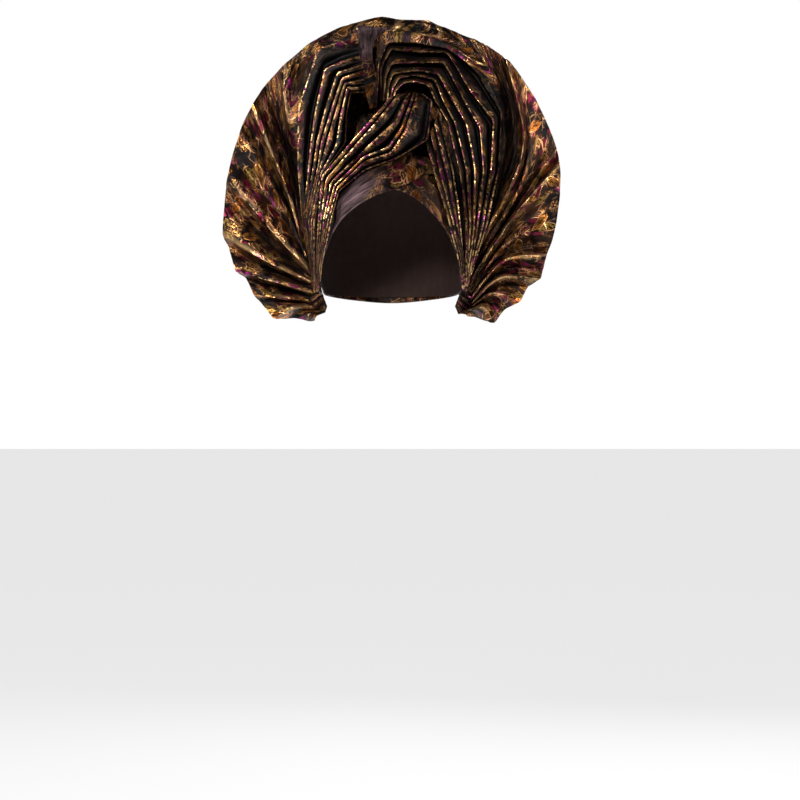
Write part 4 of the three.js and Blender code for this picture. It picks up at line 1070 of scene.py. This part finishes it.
class HeadTieCloth(bpy.types.PropertyGroup):
    """Colours and walls of the cloth."""

    ground: colour_property("Ground", "Darkest ground of the brocade", (0.003, 0.0012, 0.001))
    shade: colour_property("Shade", "Brown that clouds the ground", (0.045, 0.015, 0.006))
    gold: colour_property("Gold", "Gold thread of leaves and specks", (0.55, 0.23, 0.05))
    ochre: colour_property("Ochre", "Darker thread of other leaves", (0.3, 0.085, 0.015))
    olive: colour_property("Olive", "Olive gold of the small leaves", (0.2, 0.115, 0.022))
    petal: colour_property("Petal", "Burgundy petals", (0.09, 0.006, 0.018))
    bright_petal: colour_property("Bright petal", "Magenta petals", (0.18, 0.014, 0.085))
    outline: colour_property("Outline", "Pink gold outlines and scrolls", (0.64, 0.32, 0.14))
    # Colours of the painted highlights: the broken bright line along a sharp fold, and the sheen beside it.
    painted_ridge_highlight: colour_property("Ridge light", "Thread that shines on a fold", (0.75, 0.46, 0.2))
    painted_ridge_tint: colour_property("Ridge tint", "Purple thread on a fold", (0.3, 0.05, 0.15))
    border_low: colour_property("Border shade", "Dark tone of the plain border", (0.02, 0.012, 0.013))
    border_high: colour_property("Border light", "Light tone of the plain border", (0.1, 0.058, 0.062))
    lining: colour_property("Lining", "Reverse of the cloth inside the crown", (0.02, 0.009, 0.007))
    wall: number_property("Cloth wall", "Thickness of a pleated sheet", 0.0009, 0.0005, 0.002,
                          precision=4, unit="LENGTH")
    crumple: number_property("Crumple", "Depth of the soft wrinkles in the pleats", 0.0012, 0, 0.004,
                             precision=4, unit="LENGTH")


class HeadTieStudio(bpy.types.PropertyGroup):
    """Camera and light of the studio."""

    floor_drop: number_property("Floor drop", "Height of the head seat above the floor", 0.9, 0.4, 2,
                                unit="LENGTH")
    key_power: number_property("Key light", "Power of the front light in watts", 110, 0, 500)
    fill_power: number_property("Side lights", "Power of each side light in watts", 42, 0, 500)
    back_power: number_property("Back light", "Power of the light behind in watts", 60, 0, 500)
    room_light: number_property("Room light", "Strength of the pale room around", 0.035, 0, 2)


class HEADTIE_OT_stage(bpy.types.Operator):
    """Set up the camera, the pale floor and the soft studio light"""

    bl_idname = "object.head_tie_stage"
    bl_label = "Set up studio"

    def execute(self, context):
        studio = context.scene.head_tie_studio
        deselect_all()
        bpy.ops.object.camera_add(
            location=(CAMERA_X, -CAMERA_DISTANCE, CAMERA_Z), rotation=(math.pi / 2, 0, 0))
        camera = context.object
        camera.name = "front_camera"
        camera.data.lens = CAMERA_LENS
        context.scene.camera = camera
        bpy.ops.mesh.primitive_plane_add(size=FLOOR_SIZE, location=(0, 0, -studio.floor_drop))
        floor = context.object
        floor.name = "studio_floor"
        floor.data.materials.append(self.floor_material())
        self.add_light("key_light", (-0.45, -2.4, 0.9), 0.45, studio.key_power)
        self.add_light("left_light", (-1.9, -0.8, 0.6), 0.4, studio.fill_power)
        self.add_light("right_light", (1.9, -0.8, 0.4), 0.4, studio.fill_power)
        self.add_light("back_light", (0.5, 2.2, 0.7), 0.9, studio.back_power)
        self.room(context.scene, studio.room_light)
        context.scene.view_settings.view_transform = "Standard"
        return {"FINISHED"}

    def add_light(self, name, place, size, power):
        """Square soft light that faces the middle of the fan."""
        bpy.ops.object.light_add(type="AREA", location=place)
        light = bpy.context.object
        light.name = name
        light.data.size = size
        light.data.energy = power
        aim = Vector((0, 0, -FAN_CENTRE_DROP)) - Vector(place)
        light.rotation_euler = aim.to_track_quat("-Z", "Y").to_euler()

    def mix_by_camera(self, tree, factor, unseen, seen):
        """Mix of two shaders, of which the second shows to the camera alone."""
        path = add_node(tree, "ShaderNodeLightPath").outputs["Is Camera Ray"]
        choose = tree.nodes.new("ShaderNodeMixShader")
        for socket, value in zip(choose.inputs, (times(tree, path, factor), unseen, seen)):
            feed(tree, socket, value)
        return choose.outputs[0]

    def floor_material(self):
        """Pale floor that stays near white where the camera sees it."""
        material = bpy.data.materials.new("pale_floor")
        material.use_nodes = True
        tree = material.node_tree
        shader = tree.nodes["Principled BSDF"]
        grain = add_node(tree, "ShaderNodeTexNoise", Scale=3.0).outputs["Fac"]
        colour = mix_colour(tree, grain, (0.86, 0.86, 0.86, 1), (0.9, 0.9, 0.9, 1))
        feed_all(tree, shader.inputs, Base_Color=colour, Roughness=0.9)
        glow = add_node(tree, "ShaderNodeEmission", Color=(1, 1, 1, 1), Strength=0.93)
        surface = self.mix_by_camera(tree, 0.85, shader.outputs[0], glow.outputs[0])
        feed(tree, tree.nodes["Material Output"].inputs["Surface"], surface)
        return material

    def room(self, scene, strength):
        """Pale room: white to the camera, dimmer as light."""
        world = bpy.data.worlds.new("pale_room")
        scene.world = world
        world.use_nodes = True
        tree = world.node_tree
        tree.nodes.clear()
        seen, lit = (
            add_node(tree, "ShaderNodeBackground", Color=(1, 1, 1, 1), Strength=each).outputs[0]
            for each in (1.0, strength))
        add_node(tree, "ShaderNodeOutputWorld", Surface=self.mix_by_camera(tree, 1, lit, seen))


class HEADTIE_OT_cloths(bpy.types.Operator):
    """Weave the brocades and the plain border"""

    bl_idname = "object.head_tie_cloths"
    bl_label = "Weave cloths"

    def execute(self, context):
        cloth = context.scene.head_tie_cloth
        floral_figures_group()
        fold_shade_group()
        thread_relief_group()
        low = tuple(cloth.border_low)
        high = tuple(cloth.border_high)
        # Each piece gets a copy of the cloth darkened by its own factor, and the flap halved border tones:
        # painted shade, deepest on the crown and the flap. Sheen adds painted sheen beside the fan's
        # ridges, and narrow adds painted shade on the narrow pleats' faces.
        dim_low, dim_high = (tuple(channel * 0.5 for channel in tone) for tone in (low, high))
        brocade_material("fan_brocade", brocade_colours(cloth, 0.9), (0.0, 0.0), sheen=0.9)
        brocade_material("arch_brocade", brocade_colours(cloth, 0.62), (0.31, 0.17), crease=0.0003,
                         narrow=0.8)
        brocade_material("sash_brocade", brocade_colours(cloth, 0.9), (0.73, 0.05), crease=0.0003,
                         narrow=0.7)
        brocade_material("crown_brocade", brocade_colours(cloth, 0.28), (0.11, 0.53),
                         metal=(0.1, 0.6), roughness=(0.55, 0.42))
        border_material("band_border", brocade_colours(cloth, 0.42), low, high, BAND_SATIN,
                        BAND_LIT_WIDTH)
        border_material("flap_border", brocade_colours(cloth, 0.16), dim_low, dim_high, FLAP_SATIN)
        lining_material("crown_lining", tuple(cloth.lining))
        return {"FINISHED"}


class HEADTIE_OT_crown(bpy.types.Operator):
    """Lay the smooth crown and the plain knot at the nape"""

    bl_idname = "object.head_tie_crown"
    bl_label = "Lay crown and knot"

    def execute(self, context):
        self.crown()
        self.knot()
        return {"FINISHED"}

    def crown(self):
        """Smooth cap from the crown's top to its edge, all round the head."""
        rows = 181
        columns = 70
        top_angle = 0.004
        azimuth = np.linspace(0, 360, rows)[:, None]
        drop = np.interp(np.minimum(azimuth, 360 - azimuth), *zip(*CAP_EDGE))
        share = 1 - np.cos(np.linspace(top_angle, math.pi / 2, columns))[None, :]
        z = CAP_OFFSET * (1 - share) - share * drop * EAR_DROP
        grid = head_point(np.broadcast_to(azimuth, z.shape), z, CAP_OFFSET)
        lengths = np.linalg.norm(np.diff(grid, axis=1), axis=-1)
        along = np.concatenate([np.zeros((rows, 1)), np.cumsum(lengths, axis=1)], axis=1)
        angle = np.radians(azimuth)
        coordinates = (along * np.sin(angle), along * np.cos(angle))
        creases = wrinkles(coordinates, CROWN_CREASES, 3.5) * CREASE_DEPTH
        creases[-1] = creases[0]
        grid = grid - grid_normals(grid) * creases[..., None]
        piece = cloth_sheet("crown_cap_cloth", grid, coordinates, WRAP_WALL)
        bpy.ops.object.mode_set(mode="EDIT")
        bpy.ops.mesh.select_all(action="SELECT")
        bpy.ops.mesh.remove_doubles(threshold=SEAM_GAP)
        bpy.ops.object.mode_set(mode="OBJECT")
        finish_piece(piece, bpy.data.materials["crown_brocade"], "crown_cap")
        line_inside(piece, bpy.data.materials["crown_lining"])

    def knot(self):
        """Rounded tie with a crease round its waist and soft gathers into it."""
        low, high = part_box("nape_knot")
        middle = (low + high) / 2
        half = (high - low) / 2
        deselect_all()
        bpy.ops.mesh.primitive_uv_sphere_add(segments=96, ring_count=64, radius=1)
        piece = bpy.context.object
        piece.name = "nape_knot_cloth"
        piece.data.name = piece.name
        piece.data.uv_layers.active.name = "cloth"
        for loop in piece.data.uv_layers.active.data:
            loop.uv = (loop.uv.x * KNOT_CLOTH[0], loop.uv.y * KNOT_CLOTH[1])
        for vertex in piece.data.vertices:
            x, y, z = vertex.co
            waist = 1 - KNOT_WAIST * math.exp(-((x / KNOT_WAIST_WIDTH) ** 2))
            gather = 1 + KNOT_GATHER * math.sin(KNOT_GATHERS * math.atan2(z, y)) * (1 - abs(x))
            girth = waist * gather * (1 + KNOT_RIPPLE * noise.noise(Vector((x * 3, y * 5, z * 5))))
            vertex.co = middle + Vector((x * half.x, y * half.y * girth, z * half.z * girth))
        points = np.array([vertex.co[:] for vertex in piece.data.vertices])
        seat = INNER_WRAP_OFFSET + WRAP_WALL / 2 + LAYER_GAP / 2
        points = keep_off_head(points, seat)
        piece.data.vertices.foreach_set("co", points.ravel())
        piece.data.update()
        bpy.ops.object.shade_smooth()
        finish_piece(piece, bpy.data.materials["crown_brocade"], "nape_knot")


class HEADTIE_OT_bands(bpy.types.Operator):
    """Wrap the two forehead bands and the back band round the head"""

    bl_idname = "object.head_tie_bands"
    bl_label = "Wrap bands"

    def execute(self, context):
        satin = bpy.data.materials["band_border"]
        crown = bpy.data.materials["crown_brocade"]
        self.band("forehead_wrap_right", RIGHT_BAND, INNER_WRAP_OFFSET, crown, "brocade", 5.5)
        self.band("forehead_wrap_left", LEFT_BAND, OUTER_WRAP_OFFSET, satin, "satin_border", 8.5,
                  fold_depth=0.0007)
        self.band("back_wrap", BACK_BAND, INNER_WRAP_OFFSET, crown, "brocade", 11.5)
        return {"FINISHED"}

    def band(self, name, table, offset, cloth, slot, seed, fold_depth=0.0003):
        """Band with fine creases and a few sharper folds along it."""
        grid = band_grid(table, offset, rows=150, columns=40)
        u, v = cloth_coordinates(grid)
        folds = np.maximum(0, 1 - 5 * np.abs(wrinkles((u, v), BAND_FOLDS, seed + 1)))
        lift = CREASE_DEPTH * wrinkles((u, v), BAND_CREASES, seed) + fold_depth * folds
        normals = grid_normals(grid)
        outward = np.sign((normals[..., :2] * grid[..., :2]).sum(-1, keepdims=True))
        grid = grid + normals * outward * lift[..., None]
        piece = cloth_sheet(name + "_cloth", grid, (v, u), WRAP_WALL)
        finish_piece(piece, cloth, name)


class HEADTIE_OT_fan(bpy.types.Operator):
    """Spread the pleated fan from ear to ear"""

    bl_idname = "object.head_tie_fan"
    bl_label = "Spread fan"

    def execute(self, context):
        cloth = context.scene.head_tie_cloth
        lines = uneven(fan_lines(steps=96), across=0.001, forward=0.002, seed=21)
        grid = spread_grid(lines, between=6, easing=1.7)
        coordinates = cloth_coordinates(grid, width_share=0.9)
        grid = keep_off_head(crumpled(grid, coordinates, cloth.crumple, 2.5), CAP_OFFSET + SEAT_GAP)
        fold, ridges = fan_fold_depths(*grid.shape[:2])
        outward = np.linspace(0, 1, grid.shape[1])
        seated = np.clip((SEATED_SHARE - outward) / SEATED_FADE, 0, 1)
        crest = crest_distance(grid, ridges) + RIM_EXTRA * outward + SEATED_EXTRA * seated
        piece = cloth_sheet("outer_fan_cloth", grid, coordinates, cloth.wall, fold, crest)
        finish_piece(piece, bpy.data.materials["fan_brocade"], "outer_fan")
        return {"FINISHED"}


class HEADTIE_OT_pleats(bpy.types.Operator):
    """Fold the arches, the temple pleats and the sash"""

    bl_idname = "object.head_tie_pleats"
    bl_label = "Fold pleats"

    def execute(self, context):
        self.pleats("left_arch_pleats", LEFT_ARCHES, ARCH_FOLD_DEPTH, LEFT_ARCH_DEPTHS,
                    "arch_brocade", steps=190, leans_on=True, seed=31)
        self.pleats("right_arch_pleats", RIGHT_ARCHES, ARCH_FOLD_DEPTH, RIGHT_ARCH_DEPTHS,
                    "arch_brocade", steps=230, leans_on=False, seed=32)
        self.pleats("right_temple_pleats", TEMPLE_PLEATS, ARCH_FOLD_DEPTH, TEMPLE_DEPTHS,
                    "arch_brocade", steps=130, leans_on=False, seed=33)
        self.pleats("cross_pleats", CROSS_PLEATS, SASH_FOLD_DEPTH, CROSS_DEPTHS,
                    "sash_brocade", steps=170, leans_on=True, seed=34)
        return {"FINISHED"}

    def pleats(self, name, ridges, depth, depths, material, steps, leans_on, seed):
        """One pleated sheet, with crisp ridges, deep valleys and fine wrinkles."""
        cloth = bpy.context.scene.head_tie_cloth
        lines = uneven(pleat_lines(ridges, depth, depths, steps), *PLEAT_WANDER, seed)
        grid, fold, ridges = knife_pleats(lines, leans_on)
        coordinates = cloth_coordinates(grid)
        depth = cloth.crumple * PLEAT_CRUMPLE
        grid = clear_of_bands(crumpled(grid, coordinates, depth, seed / 3))
        crest = crest_distance(grid, ridges)
        piece = cloth_sheet(name + "_cloth", grid, coordinates, cloth.wall, fold, crest)
        finish_piece(piece, bpy.data.materials[material], name)


class HEADTIE_OT_flap(bpy.types.Operator):
    """Hang the plain flap from the top rim"""

    bl_idname = "object.head_tie_flap"
    bl_label = "Hang flap"

    def execute(self, context):
        rows = 90
        columns = 24
        left, right = (along_curve([air_point(*place) for place in side], rows)[:, None]
                       for side in zip(*FLAP_SECTIONS))
        share = np.linspace(0, 1, columns)[None, :, None]
        grid = left * (1 - share) + right * share
        grid[..., 1] -= FLAP_BULGE * np.sin(share[..., 0] * math.pi)
        u, v = cloth_coordinates(grid)
        grid[..., 1] -= (wrinkles((u, v), FLAP_FOLDS, 4.2) * FLAP_FOLD_DEPTH
                         + wrinkles((u, v), FLAP_CREASES, 6.1) * FLAP_CREASE_DEPTH)
        self.lay_on_fan(grid)
        # Distance from the free edge, which gets a painted highlight line below the edge start.
        crest = np.maximum(0, FLAP_EDGE_START - u) + v[:, -1:] - v
        piece = cloth_sheet("centre_flap_cloth", grid, (v, u), context.scene.head_tie_cloth.wall,
                            crest=crest)
        finish_piece(piece, bpy.data.materials["flap_border"], "centre_flap")
        return {"FINISHED"}

    def lay_on_fan(self, grid):
        """Lays the flap's top rows close on the fan, and lets them leave it further down."""
        fan = bpy.data.objects["outer_fan_cloth"]
        for row, free in enumerate(np.linspace(0, 1, FLAP_LAID_ROWS)):
            for point in grid[row]:
                hit, place = fan.ray_cast((point[0], -1, point[2]), (0, 1, 0))[:2]
                if hit:
                    point[1] = (place.y - FLAP_REST) * (1 - free) + point[1] * free


class HEADTIE_PT_panel(bpy.types.Panel):
    """Steps that build the head tie"""

    bl_label = "Head Tie"
    bl_idname = "HEADTIE_PT_panel"
    bl_space_type = "VIEW_3D"
    bl_region_type = "UI"
    bl_category = "Head Tie"

    def draw(self, context):
        layout = self.layout
        for operator in OPERATORS:
            layout.operator(operator.bl_idname)
        for settings in (context.scene.head_tie_cloth, context.scene.head_tie_studio):
            box = layout.box()
            for name in settings.__annotations__:
                box.prop(settings, name)


OPERATORS = (
    HEADTIE_OT_stage,
    HEADTIE_OT_cloths,
    HEADTIE_OT_crown,
    HEADTIE_OT_bands,
    HEADTIE_OT_fan,
    HEADTIE_OT_pleats,
    HEADTIE_OT_flap,
)
CLASSES = (HeadTieCloth, HeadTieStudio, *OPERATORS, HEADTIE_PT_panel)


def register():
    """Registers the classes and their settings."""
    for each in CLASSES:
        bpy.utils.register_class(each)
    bpy.types.Scene.head_tie_cloth = bpy.props.PointerProperty(type=HeadTieCloth)
    bpy.types.Scene.head_tie_studio = bpy.props.PointerProperty(type=HeadTieStudio)


def unregister():
    """Removes the settings and the classes."""
    del bpy.types.Scene.head_tie_cloth
    del bpy.types.Scene.head_tie_studio
    for each in reversed(CLASSES):
        bpy.utils.unregister_class(each)


def main():
    """Builds the head tie and its studio."""
    register()
    bpy.ops.object.head_tie_stage()
    bpy.ops.object.head_tie_cloths()
    bpy.ops.object.head_tie_crown()
    bpy.ops.object.head_tie_bands()
    bpy.ops.object.head_tie_fan()
    bpy.ops.object.head_tie_pleats()
    bpy.ops.object.head_tie_flap()


if __name__ == "__main__":
    main()
